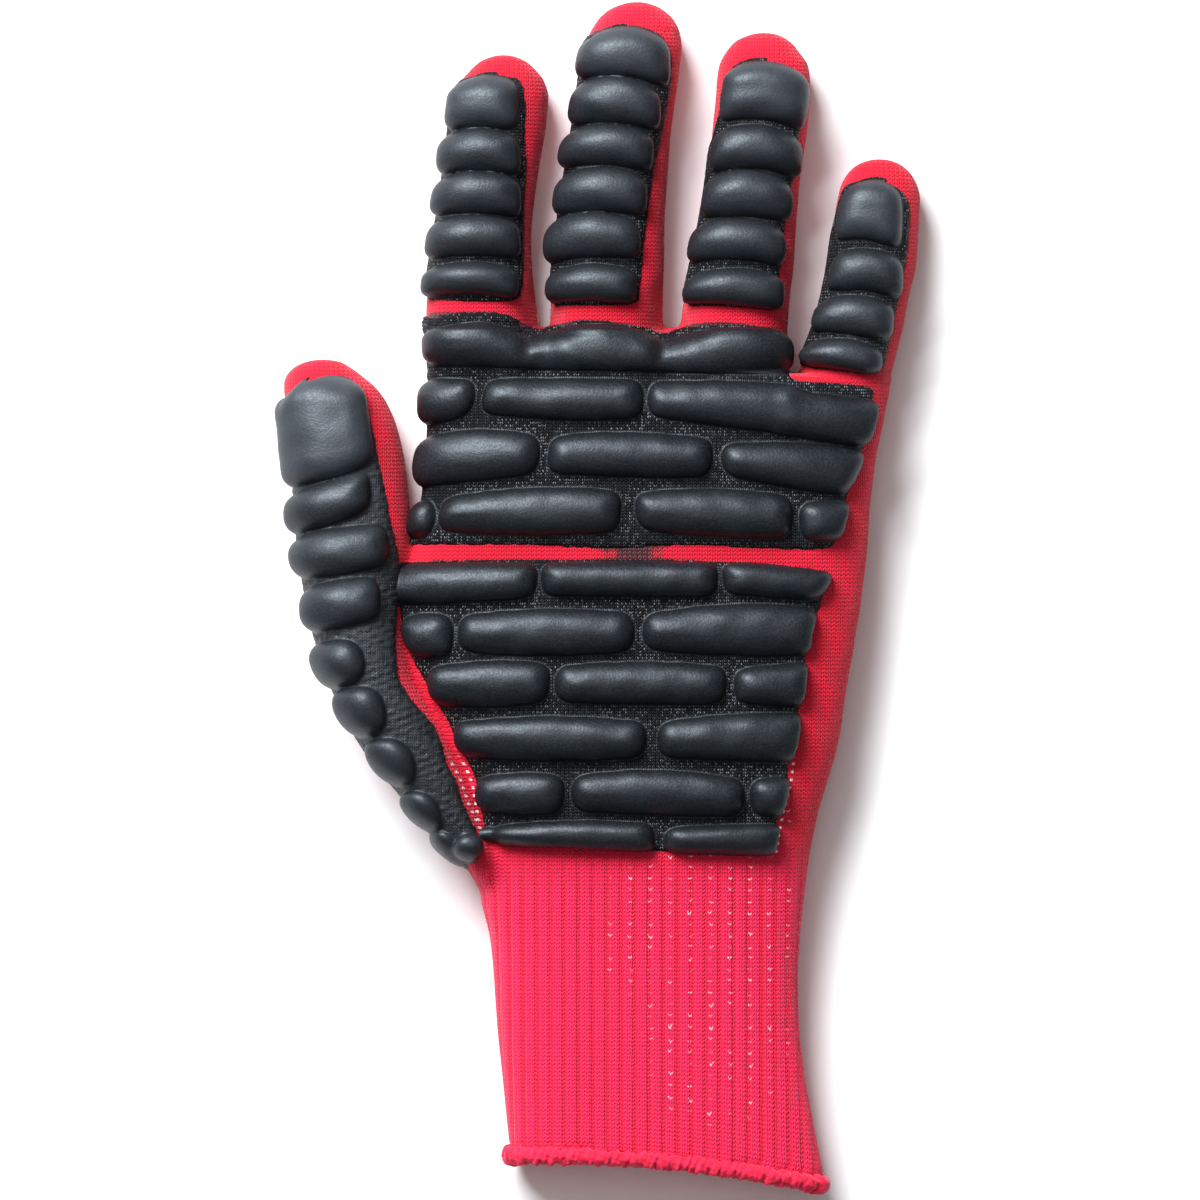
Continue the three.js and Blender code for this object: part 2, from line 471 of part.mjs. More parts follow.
// ------------------------------------------------------------- the cuff's rolled hem
function makeHem() {
  const end = HAND[HAND.length - 1],
    radius = HEM_DIAMETER / 2,
    steps = 36,
    rings = [];
  const middle = (angle) => {
    const row = {
      ...end,
      xl: end.xl + 0.6,
      xr: end.xr - 0.6,
      zt: end.zt - 0.8,
      zb: radius,
    };
    const [x, z] = sectionPoint(row, ROUND.hand, angle);
    const t = Math.min(1, Math.max(0, (x - end.xl) / (end.xr - end.xl)));
    return new THREE.Vector3(
      x,
      end.y - end.drop * t + end.bow * 4 * t * (1 - t) - radius - HEM_GAP - HEM_EASE,
      z,
    );
  };
  for (let i = 0; i < steps; i++) {
    const angle = (2 * Math.PI * i) / steps,
      centre = middle(angle),
      along = middle(angle + 0.05).sub(middle(angle - 0.05)).normalize(),
      side = new THREE.Vector3(0, 1, 0).cross(along).normalize(),
      up = new THREE.Vector3().crossVectors(along, side).normalize();
    const ring = [];
    for (let j = 0; j < HEM_SIDES; j++) {
      const turn = (2 * Math.PI * (j + 0.5)) / HEM_SIDES;
      const p = centre
        .clone()
        .addScaledVector(side, radius * Math.cos(turn))
        .addScaledVector(up, radius * Math.sin(turn));
      ring.push([p.x, p.y, Math.max(0, p.z)]);
    }
    rings.push(ring);
  }
  return solid(bodyFromRings(rings, true));
}

// ------------------------------------------------------------------ the pad panels
// The section's curve from below its left side over the top to its right side, with
// s the length along it, zero at the left side.
function curveAt(form, y) {
  const row = rowAt(form.rows, y),
    points = [];
  const steps = 72;
  for (let i = 0; i <= steps; i++) {
    const angle = Math.PI * (1.3 - (1.3 * i) / steps);
    const [x, z] = sectionPoint(row, form.round, angle);
    points.push({ x, z, s: 0 });
  }
  for (let i = 1; i < points.length; i++)
    points[i].s =
      points[i - 1].s +
      Math.hypot(points[i].x - points[i - 1].x, points[i].z - points[i - 1].z);
  let left = points[0];
  for (const p of points) if (p.x < left.x) left = p;
  const zero = left.s;
  for (const p of points) p.s -= zero;
  return { row, points };
}
function lengthAtX(curve, x) {
  if (x <= curve.row.xl) return x - curve.row.xl;
  const top = curve.points.filter((p) => p.s >= 0);
  for (let i = 1; i < top.length; i++)
    if (top[i].x >= x) {
      const a = top[i - 1],
        b = top[i],
        t = (x - a.x) / Math.max(1e-9, b.x - a.x);
      return a.s + (b.s - a.s) * t;
    }
  return top[top.length - 1].s;
}
function pointAtLength(curve, s) {
  const p = curve.points;
  let i = 1;
  while (i < p.length - 1 && p[i].s < s) i++;
  const a = p[i - 1],
    b = p[i],
    t = (s - a.s) / Math.max(1e-9, b.s - a.s);
  const i0 = Math.max(0, i - 3),
    i1 = Math.min(p.length - 1, i + 2);
  const dx = p[i1].x - p[i0].x,
    dz = p[i1].z - p[i0].z,
    length = Math.hypot(dx, dz) || 1;
  return {
    x: a.x + (b.x - a.x) * t,
    z: a.z + (b.z - a.z) * t,
    nx: -dz / length,
    nz: dx / length,
  };
}
// Whether a point lies within a form grown by a gap.
function within(form, x, y, z, gap) {
  const rows = form.rows;
  if (y > rows[0].y + gap || y < rows[rows.length - 1].y - gap) return false;
  const row = rowAt(rows, y);
  const half = (row.xr - row.xl) / 2 + gap,
    middle = row.zb + 0.42 * (row.zt - row.zb);
  const u = Math.abs(x - (row.xl + row.xr) / 2) / half;
  const v =
    z > middle
      ? (z - middle) / (row.zt - middle + gap)
      : (middle - z) / (middle - row.zb + gap);
  const n = z > middle ? form.round[0] : form.round[1];
  return Math.pow(u, n) + Math.pow(v, n) < 1;
}
// A point of a panel at station y and curve length s, rise above the knit. Where a
// neighbouring form stands in the way, the panel climbs over it.
function onPanel(form, y, s, rise) {
  const p = pointAtLength(curveAt(form, y), s);
  const x = p.x + p.nx * SEAT_GAP;
  let z = p.z + p.nz * SEAT_GAP,
    climb = 0;
  const others = Object.values(FORMS).filter(
    (f) => f !== form && !(form.extends === f),
  );
  while (climb < 18 && others.some((f) => within(f, x, y, z + climb, CLIMB_GAP)))
    climb += 0.1;
  z += climb;
  const lean = Math.min(1, climb / 2),
    nx = p.nx * (1 - lean),
    nz = p.nz * (1 - lean) + lean,
    length = Math.hypot(nx, nz);
  return [x + (nx / length) * rise, y, z + (nz / length) * rise];
}

// The cushion's rounded edge: how far in from the edge, as a share of its half
// height, and how high it has risen there, as a share of the cushion's height.
const EDGE = [
  { in: 0, rise: 0.06 },
  { in: 0.34, rise: 0.8 },
  { in: 1, rise: 1 },
];
// The lines along a row of cushions, from its upper edge to its lower edge.
const BAND = [
  { v: 1, rise: EDGE[0].rise },
  { v: 0.64, rise: EDGE[1].rise },
  { v: 0, rise: EDGE[2].rise },
  { v: -0.64, rise: EDGE[1].rise },
  { v: -1, rise: EDGE[0].rise },
];
const STATION = 7; // longest step along a cushion

// A panel is one moulding. Its top is a set of lines across it, with the cushions
// risen out of the skin, and its underside is a plainer set of lines. Neighbouring
// lines are zipped together, whatever number of points each one has. crowd over 1
// brings the skin's columns closer together at the left side, where the hand rounds off.
function makePanel(form, skin, rows, height, crowd = 1) {
  const vertices = [],
    faces = [];
  const put = (y, s, rise) => {
    vertices.push(onPanel(form, y, s, rise));
    return vertices.length - 1;
  };
  const edgeLengths = (y) => {
    const row = rowAt(skin, y),
      curve = curveAt(form, y);
    return [lengthAtX(curve, row.xl), lengthAtX(curve, row.xr)];
  };
  const skinLine = (row, columns, rise) => {
    const line = [];
    for (let j = 0; j <= columns; j++) {
      const t = Math.pow(j / columns, crowd),
        y = row.y - (row.wave || 0) * Math.pow(Math.sin(3 * Math.PI * t), 2);
      const [from, to] = edgeLengths(y);
      line.push(put(y, from + (to - from) * t, rise));
    }
    return line;
  };
  const bandLine = (cushions, d) => {
    const line = [];
    const first = cushions[0],
      last = cushions[cushions.length - 1];
    const yOf = (c, t, v) => {
      const u = 2 * t - 1,
        bowed = c.arch * (1 - u * u);
      const top = c.tl + (c.tr - c.tl) * t + bowed,
        bottom = c.bl + (c.br - c.bl) * t + bowed;
      return bottom + ((top - bottom) * (v + 1)) / 2;
    };
    const yLeft = yOf(first, 0, d.v);
    line.push(put(yLeft, edgeLengths(yLeft)[0], SKIN));
    for (const c of cushions) {
      const wide = c.xr - c.xl,
        tall = (c.tl + c.tr - c.bl - c.br) / 2,
        end = Math.min(tall / 2, wide / 2);
      const across = EDGE.map((e) => ({ x: e.in * end, rise: e.rise }));
      const steps = Math.max(0, Math.ceil((wide - 2 * end) / STATION));
      for (let i = 1; i < steps; i++)
        across.push({ x: end + ((wide - 2 * end) * i) / steps, rise: 1 });
      if (wide - 2 * end > 0.5) across.push({ x: wide - end, rise: 1 });
      for (const e of EDGE.slice(0, 2).reverse())
        across.push({ x: wide - e.in * end, rise: e.rise });
      for (const a of across) {
        const t = a.x / wide,
          fromEnd = Math.min(a.x, wide - a.x);
        const pinch = Math.pow(Math.max(0, 1 - fromEnd / end), 2) * 0.4;
        const y = yOf(c, t, d.v * (1 - pinch)),
          curve = curveAt(form, y),
          from = lengthAtX(curve, c.xl);
        line.push(
          put(
            y,
            from + (lengthAtX(curve, c.xr) - from) * t,
            SKIN + height * a.rise * d.rise,
          ),
        );
      }
    }
    const yRight = yOf(last, 1, d.v);
    line.push(put(yRight, edgeLengths(yRight)[1], SKIN));
    return line;
  };
  const gap = (a, b) =>
    Math.hypot(
      vertices[a][0] - vertices[b][0],
      vertices[a][1] - vertices[b][1],
      vertices[a][2] - vertices[b][2],
    );
  const zip = (upper, lower, turned) => {
    let a = 0,
      b = 0;
    while (a < upper.length - 1 || b < lower.length - 1) {
      const moveUpper =
        b === lower.length - 1 ||
        (a < upper.length - 1 &&
          gap(upper[a + 1], lower[b]) <= gap(upper[a], lower[b + 1]));
      const face = moveUpper
        ? [upper[a], lower[b], upper[a + 1]]
        : [upper[a], lower[b], lower[b + 1]];
      if (moveUpper) a++;
      else b++;
      faces.push(turned ? [face[0], face[2], face[1]] : face);
    }
  };

  const columns = Math.max(9, Math.round((skin[2].xr - skin[2].xl) / 5));
  const top = [skinLine(skin[0], columns, SKIN)];
  for (const cushions of rows)
    for (const d of BAND) top.push(bandLine(cushions, d));
  top.push(skinLine(skin[skin.length - 1], columns, SKIN));

  const bottom = [skinLine(skin[0], columns, 0)];
  for (let i = 1; i < skin.length; i++) {
    const steps = Math.ceil((skin[i - 1].y - skin[i].y) / SKIN_STEP);
    for (let k = 1; k <= steps; k++)
      bottom.push(
        skinLine(
          rowAt(skin, skin[i - 1].y + ((skin[i].y - skin[i - 1].y) * k) / steps),
          columns,
          0,
        ),
      );
  }
  for (let i = 1; i < top.length; i++) zip(top[i - 1], top[i], false);
  for (let i = 1; i < bottom.length; i++) zip(bottom[i - 1], bottom[i], true);
  zip(top.map((l) => l[0]), bottom.map((l) => l[0]), false);
  zip(top.map((l) => l[l.length - 1]), bottom.map((l) => l[l.length - 1]), true);
  zip(top[0], bottom[0], true);
  zip(top[top.length - 1], bottom[bottom.length - 1], false);
  return solid({ vertices, faces });
}

// ------------------------------------------------------------------- the assembly
const knitRed = new THREE.MeshStandardMaterial({
  color: 0xe8173f,
  roughness: 0.85,
  metalness: 0,
});
const hemRed = new THREE.MeshStandardMaterial({
  color: 0xf0204a,
  roughness: 0.85,
  metalness: 0,
});
const rubberBlack = new THREE.MeshStandardMaterial({
  color: 0x1b1d20,
  roughness: 0.5,
  metalness: 0,
});

const glove = new THREE.Group();
glove.name = "impact_glove";
glove.position.set(-ORIGIN.x, -ORIGIN.y, 0);
function addPiece(name, body, material) {
  const mesh = body.getMesh(),
    stride = mesh.numProp,
    positions = new Float32Array(mesh.numVert * 3);
  for (let i = 0; i < mesh.numVert; i++)
    for (let k = 0; k < 3; k++)
      positions[3 * i + k] = mesh.vertProperties[i * stride + k];
  const geometry = new THREE.BufferGeometry();
  geometry.setAttribute("position", new THREE.BufferAttribute(positions, 3));
  geometry.setIndex(new THREE.BufferAttribute(mesh.triVerts, 1));
  geometry.computeVertexNormals();
  const piece = new THREE.Mesh(geometry, material);
  piece.name = name;
  glove.add(piece);
}

addPiece("knit_liner", makeLiner(), knitRed);
addPiece("cuff_hem", makeHem(), hemRed);
const oneByOne = (cushions) => cushions.map((c) => [c]);
// Splits a table of cushions into rows of the given lengths.
function inRows(cushions, lengths) {
  const rows = [];
  let at = 0;
  for (const length of lengths) rows.push(cushions.slice(at, (at += length)));
  return rows;
}
const panels = [
  { name: "pad_index", form: FORMS.index, skin: SKIN_INDEX, rows: oneByOne(CUSHIONS_INDEX), height: PAD_RISE },
  { name: "pad_middle", form: FORMS.middle, skin: SKIN_MIDDLE, rows: oneByOne(CUSHIONS_MIDDLE), height: PAD_RISE },
  { name: "pad_ring", form: FORMS.ring, skin: SKIN_RING, rows: oneByOne(CUSHIONS_RING), height: PAD_RISE },
  { name: "pad_little", form: FORMS.little, skin: SKIN_LITTLE, rows: oneByOne(CUSHIONS_LITTLE), height: PAD_RISE },
  { name: "pad_thumb", form: FORMS.thumb, skin: SKIN_THUMB, rows: oneByOne(CUSHIONS_THUMB), height: THUMB_RISE },
  {
    name: "pad_palm_upper",
    form: PALM_SEAT,
    skin: SKIN_UPPER,
    rows: inRows(CUSHIONS_UPPER, [3, 3, 3, 4]),
    height: PAD_RISE,
    crowd: 1.45,
  },
  {
    name: "pad_palm_lower",
    form: PALM_SEAT,
    skin: SKIN_LOWER,
    rows: inRows(CUSHIONS_LOWER, [3, 3, 3, 2, 3, 2]),
    height: PAD_RISE,
    crowd: 1.2,
  },
];
for (const p of panels)
  addPiece(p.name, makePanel(p.form, p.skin, p.rows, p.height, p.crowd), rubberBlack);

export default glove;
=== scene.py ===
import bpy
import numpy as np
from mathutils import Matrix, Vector


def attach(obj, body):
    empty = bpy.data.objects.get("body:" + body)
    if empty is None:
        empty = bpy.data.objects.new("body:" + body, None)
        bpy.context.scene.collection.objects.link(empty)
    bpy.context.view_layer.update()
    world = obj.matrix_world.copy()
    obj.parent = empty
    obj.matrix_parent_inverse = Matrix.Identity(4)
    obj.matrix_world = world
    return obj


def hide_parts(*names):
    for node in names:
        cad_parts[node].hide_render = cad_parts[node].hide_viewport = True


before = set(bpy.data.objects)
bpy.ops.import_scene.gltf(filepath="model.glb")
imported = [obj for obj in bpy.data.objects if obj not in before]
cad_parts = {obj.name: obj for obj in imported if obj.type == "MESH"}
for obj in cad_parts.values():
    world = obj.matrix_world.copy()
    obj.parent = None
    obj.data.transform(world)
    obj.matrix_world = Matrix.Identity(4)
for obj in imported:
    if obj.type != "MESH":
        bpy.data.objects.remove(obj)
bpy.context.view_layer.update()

# ---------------------------------------------------------------- sizes (mm)
ORIGIN = (-0.26, 0.44)  # middle of the glove's outline in the drawing's frame
WALL = 1.7  # knit thickness
FLOOR_DROP = 0.7  # how much a section's underside is flattened
DIGIT = (2.4, 3.0)  # roundness of a finger's section, upper and lower half
BODY = (3.0, 4.0)  # roundness of the hand's section
CUFF_END = -120.9  # the knit's last course, inside the rolled hem
HEM = 3.9  # thickness of the rolled hem
PAD = 4.4  # height of a cushion over the knit
SKIN = 0.75  # thickness of the rubber between the cushions

# Sections of the glove: y, left x, right x, top z, bottom z.
INDEX = [  # y, xl, xr, zt, zb
    (120.1, -21.3, -21.2, 8, 7.9),
    (119.7, -24, -18.5, 10.6, 4.6),
    (118.6, -26.6, -16.1, 12.2, 3),
    (116.6, -28.8, -13.9, 13.4, 1.6),
    (114, -31, -12.1, 14.4, 0.7),
    (110.4, -32.6, -11.4, 15.1, 0.2),
    (104.5, -33, -11.9, 15.6, 0),
    (96.8, -33.9, -13.2, 16, 0),
    (88, -35, -14.5, 16.4, 0),
    (79.2, -36.5, -15.2, 16.8, 0),
    (70.4, -37.8, -14.7, 17.2, 0),
    (62.7, -38.3, -13.9, 17.6, 0),
    (56.1, -37.4, -13.4, 17.4, 0),
    (44, -33.9, -15, 13.5, 2),
]
MIDDLE = [  # y, xl, xr, zt, zb
    (131.8, 8.1, 8.2, 8, 7.9),
    (131.3, 4.8, 11.4, 10.6, 4.6),
    (130, 1.8, 14.1, 12.2, 3),
    (127.6, -0.7, 16.5, 13.4, 1.6),
    (124.3, -2.6, 17.8, 14.4, 0.7),
    (121, -3.7, 18, 15.1, 0.2),
    (114.4, -4.4, 17.2, 15.7, 0),
    (104.5, -5.7, 15.8, 16.1, 0),
    (94.6, -7.3, 15, 16.5, 0),
    (84.7, -8.8, 14.3, 16.9, 0),
    (73.7, -10.1, 14.1, 17.3, 0),
    (66, -10.8, 13.9, 17.6, 0),
    (56.1, -11.2, 13.8, 17.6, 0),
    (44, -8.8, 12.1, 13.5, 2),
]
RING = [  # y, xl, xr, zt, zb
    (125, 36.1, 36.2, 8, 7.9),
    (124.5, 32.8, 39.4, 10.4, 4.6),
    (123.2, 29.9, 41.8, 12, 3),
    (121, 27.9, 43.8, 13.2, 1.6),
    (117.5, 26.2, 46, 14.2, 0.7),
    (113.3, 25.7, 46.4, 15, 0.2),
    (104.5, 24.9, 45.8, 15.5, 0),
    (93.5, 23.8, 44.2, 15.9, 0),
    (83.2, 22.2, 43.3, 16.3, 0),
    (73.7, 20.2, 42.7, 16.8, 0),
    (66, 18.5, 41.8, 17.2, 0),
    (56.1, 17.4, 41.2, 17.5, 0),
    (44, 19.8, 39.6, 13.5, 2),
]
LITTLE = [  # y, xl, xr, zt, zb
    (97.2, 61.6, 61.7, 7, 6.9),
    (96.8, 58.7, 64.5, 9.4, 4.2),
    (95.5, 56.1, 67.1, 10.8, 2.8),
    (93.3, 54.1, 69.1, 11.9, 1.5),
    (90.2, 52.8, 70.4, 12.8, 0.6),
    (86.7, 52.1, 70.6, 13.3, 0.2),
    (80.3, 51.3, 70.2, 13.8, 0),
    (73.7, 50.4, 69.7, 14.2, 0),
    (67.1, 49.1, 68.2, 14.7, 0),
    (60.5, 47.3, 66.9, 15.2, 0),
    (53.9, 44.9, 65.3, 15.8, 0),
    (47.3, 43.3, 63.8, 16.2, 0),
    (37.4, 46.6, 59.8, 13, 2),
]
THUMB = [  # y, xl, xr, zt, zb
    (53, -61.2, -61.1, 8, 7.9),
    (52.6, -64.5, -57.6, 10.6, 4.8),
    (51.5, -67.1, -55.4, 12.2, 3.2),
    (49.5, -69.1, -52.6, 13.8, 1.8),
    (46.9, -69.7, -49.5, 15.2, 0.8),
    (43.6, -69.3, -47.1, 16.4, 0.2),
    (37.8, -68.2, -44.7, 17.6, 0),
    (30.8, -67.5, -43.1, 18.6, 0),
    (23.1, -66.9, -42.2, 19.6, 0),
    (14.3, -66.2, -41.6, 20.6, 0),
    (5.5, -65.1, -42.2, 21.6, 0),
    (-2.6, -63.6, -43.1, 22.6, 0),
    (-9.9, -61.8, -42.5, 23.4, 0),
    (-16.5, -59.6, -40.9, 23.8, 0),
    (-23.1, -56.8, -37.4, 23.8, 0),
    (-30.8, -52.8, -33, 23.4, 0),
    (-38.5, -47.1, -29.3, 22.4, 0),
    (-45.8, -40.9, -26.4, 21, 0),
    (-52.4, -34.5, -24, 19.4, 0),
    (-59, -29.5, -22, 17, 1),
    (-62.5, -26.8, -22, 14, 3),
]
SADDLE = [  # y, xl, xr, zt, zb
    (8, -57, -36, 11, 3),
    (3.3, -58, -33, 13.5, 0),
    (-8.8, -56, -27, 14.5, 0),
    (-22, -51, -20.5, 14.5, 0),
    (-35.2, -43.3, -16, 14.5, 0),
    (-48.4, -33.4, -12, 13.5, 0),
    (-56, -28, -12, 12, 0),
]
# drop and bow: how the courses sink to the right and rise in the middle at the cuff.
HAND = [  # y, xl, xr, zt, zb, drop, bow
    (60.2, -35.5, 39, 11, 5, 0, 0),
    (59, -37.4, 40.6, 15, 2, 0, 0),
    (56.8, -37.8, 41.4, 17.2, 0, 0, 0),
    (50.4, -37.3, 41.6, 18.5, 0, 0, 0),
    (48.3, -37.2, 63.6, 18.8, 0, 0, 0),
    (39.6, -37.4, 62.5, 19.5, 0, 0, 0),
    (30.8, -37.8, 60.7, 20, 0, 0, 0),
    (22, -38.7, 59.6, 20.3, 0, 0, 0),
    (13.2, -40.9, 59, 20.5, 0, 0, 0),
    (6.2, -43.6, 58.3, 20.7, 0, 0, 0),
    (-1.1, -44.9, 57.4, 21, 0, 0, 0),
    (-8.8, -44.9, 56.1, 21.2, 0, 0, 0),
    (-15.4, -43.6, 55, 21.3, 0, 0, 0),
    (-23.1, -39.8, 53.7, 21.3, 0, 0, 0),
    (-30.8, -35.2, 52.6, 21.1, 0, 0, 0),
    (-39.6, -31, 50.2, 20.6, 0, 0, 0),
    (-48.4, -28.4, 47.7, 19.9, 0, 0, 0),
    (-57.2, -27.1, 46, 19, 0, 0, 0),
    (-66, -26.2, 44.9, 18.2, 0, 0, 0),
    (-74.8, -24.2, 44, 17.6, 0, 0, 0),
    (-84.7, -23.3, 43.6, 17.2, 0, 0, 0),
    (-93.5, -22.7, 43.9, 17, 0, 0.6, 0.2),
    (-102.3, -21.8, 45, 16.8, 0, 2, 0.8),
    (-111.1, -20.9, 47, 16.6, 0, 4.2, 1.6),
    (-119.9, -20, 49.2, 16.4, 0, 6.6, 2.4),
]


# Cushions as seen from above: whether the left end wraps round the glove's side (1)
# or stands on top of it (0), the left end's x at the top and at the bottom, the right
# end's, then the upper edge's height at its left, middle and right, and the lower's.
CUSHIONS_INDEX = [  # side, xtl, xbl, xtr, xbr, ytl, ytm, ytr, ybl, ybm, ybr
    (1, -33.88, -33.88, -17.93, -17.93, 113.78, 115.32, 114, 102.21, 103.53, 102.21),
    (1, -35.86, -35.86, -17.71, -17.71, 101.46, 103.66, 101.46, 92.53, 94.07, 92.31),
    (1, -37.18, -37.18, -17.93, -17.93, 91.56, 94.2, 92.22, 83.51, 84.83, 83.07),
    (1, -38.28, -38.28, -18.15, -18.15, 82.76, 84.52, 82.76, 74.05, 75.37, 74.27),
    (1, -39.38, -39.38, -18.37, -18.37, 72.2, 74.18, 72.42, 65.91, 67.01, 65.47),
]
CUSHIONS_MIDDLE = [  # side, xtl, xbl, xtr, xbr, ytl, ytm, ytr, ybl, ybm, ybr
    (1, -5.06, -5.06, 15.18, 14.74, 123.02, 126.1, 122.14, 113.43, 114.75, 111.45),
    (1, -6.82, -6.82, 13.2, 12.76, 112.24, 115.1, 111.14, 103.31, 104.63, 101.99),
    (1, -9.02, -9.02, 11.66, 11.22, 101.9, 104.54, 101.9, 94.07, 95.39, 92.97),
    (1, -10.34, -10.34, 10.34, 9.9, 92.22, 95.08, 92.22, 83.51, 85.05, 83.51),
    (1, -12.32, -12.32, 8.8, 8.58, 82.54, 85.18, 82.54, 72.95, 74.93, 74.27),
    (1, -12.1, -12.1, 7.92, 7.7, 71.32, 73.74, 71.98, 64.59, 65.47, 64.37),
]
CUSHIONS_RING = [  # side, xtl, xbl, xtr, xbr, ytl, ytm, ytr, ybl, ybm, ybr
    (1, 26.62, 26.62, 45.32, 44.44, 116.64, 118.4, 114.22, 104.19, 105.29, 101.77),
    (1, 24.2, 24.2, 43.56, 43.34, 102.34, 104.32, 100.58, 92.97, 94.51, 91.43),
    (1, 22.44, 22.44, 41.58, 41.36, 92.44, 94.42, 91.12, 83.07, 83.95, 81.97),
    (1, 19.58, 19.58, 40.48, 40.04, 81.88, 83.86, 80.78, 73.39, 74.49, 72.29),
    (1, 18.26, 18.26, 39.82, 39.6, 70.88, 72.86, 70.44, 64.81, 64.59, 62.61),
]
CUSHIONS_LITTLE = [  # side, xtl, xbl, xtr, xbr, ytl, ytm, ytr, ybl, ybm, ybr
    (1, 52.36, 52.36, 66.44, 66, 90.9, 92.44, 89.8, 77.79, 78.89, 75.59),
    (1, 50.38, 50.38, 66.44, 66, 75.94, 77.26, 74.62, 66.79, 67.89, 65.03),
    (1, 46.64, 46.64, 64.46, 63.8, 65.6, 66.92, 64.72, 58.65, 58.21, 56.23),
    (1, 43.56, 43.56, 61.82, 61.38, 55.92, 57.46, 54.82, 52.05, 50.51, 48.97),
]
CUSHIONS_THUMB = [  # side, xtl, xbl, xtr, xbr, ytl, ytm, ytr, ybl, ybm, ybr
    (1, -71.28, -70.84, -51.81, -49.17, 43.78, 49.28, 46.86, 24.16, 25.92, 29.88),
    (1, -69.96, -69.52, -50.49, -50.05, 22, 25.52, 28.82, 13.82, 15.8, 19.76),
    (1, -68.64, -68.42, -46.97, -46.75, 12.76, 15.62, 16.72, 4.36, 5.24, 7.44),
    (1, -66.44, -66, -48.73, -48.29, 1.32, 4.18, 5.28, -7.74, -6.42, -4.22),
    (1, -63.8, -63.36, -51.37, -50.93, -10.34, -8.8, -8.8, -19.84, -19.4, -17.86),
    (1, -58.74, -57.86, -47.19, -46.09, -20.46, -18.92, -18.92, -29.96, -30.18, -29.3),
    (1, -51.48, -50.16, -41.03, -39.49, -31.24, -30.14, -30.58, -40.74, -40.96, -40.3),
    (1, -43.34, -42.24, -35.09, -33.55, -43.34, -41.8, -42.24, -50.86, -51.96, -51.3),
    (1, -36.96, -36.08, -30.91, -29.37, -51.7, -50.16, -50.6, -57.68, -58.78, -57.9),
    (0, -31.24, -30.8, -26.07, -25.85, -51.7, -51.04, -51.7, -56.8, -57.46, -56.8),
]
CUSHIONS_UPPER = [  # side, xtl, xbl, xtr, xbr, ytl, ytm, ytr, ybl, ybm, ybr
    (1, -39.38, -39.38, -14.96, -14.96, 60.28, 60.72, 57.86, 51.37, 50.93, 50.49),
    (0, -17.82, -17.82, 14.52, 14.52, 56.32, 60.61, 57.2, 50.49, 50.05, 49.83),
    (0, 11.66, 11.66, 40.92, 40.92, 55.88, 59.73, 58.3, 49.83, 49.39, 49.17),
    (1, -40.48, -40.04, -26.62, -27.72, 48.18, 48.73, 48.4, 37.95, 38.83, 40.81),
    (0, -24.64, -26.84, 9.46, 9.46, 48.62, 48.62, 48.4, 41.03, 39.27, 39.71),
    (0, 10.12, 10.56, 44.44, 43.78, 47.74, 48.07, 46.86, 40.15, 37.73, 35.97),
    (0, 37.84, 36.96, 62.04, 59.4, 46.86, 44.88, 43.56, 36.63, 34.65, 33.11),
    (1, -41.36, -40.92, -12.54, -13.64, 34.76, 37.4, 35.86, 24.31, 25.74, 27.39),
    (0, -11, -11.66, 25.08, 24.42, 35.86, 36.74, 35.2, 27.61, 26.73, 26.73),
    (0, 25.96, 26.84, 58.96, 54.78, 34.1, 34.54, 32.56, 27.39, 24.42, 22.55),
    (1, -42.68, -42.24, -35.2, -35.86, 21.34, 22, 21.34, 13.75, 13.75, 14.63),
    (0, -34.1, -35.42, 4.84, 4.4, 22.44, 24.64, 23.98, 15.07, 14.08, 14.85),
    (0, 7.04, 8.36, 42.46, 41.8, 23.32, 24.42, 22.66, 15.29, 13.75, 13.31),
    (0, 43.12, 43.56, 55.66, 53.24, 21.56, 21.78, 21.56, 13.09, 12.76, 12.87),
]
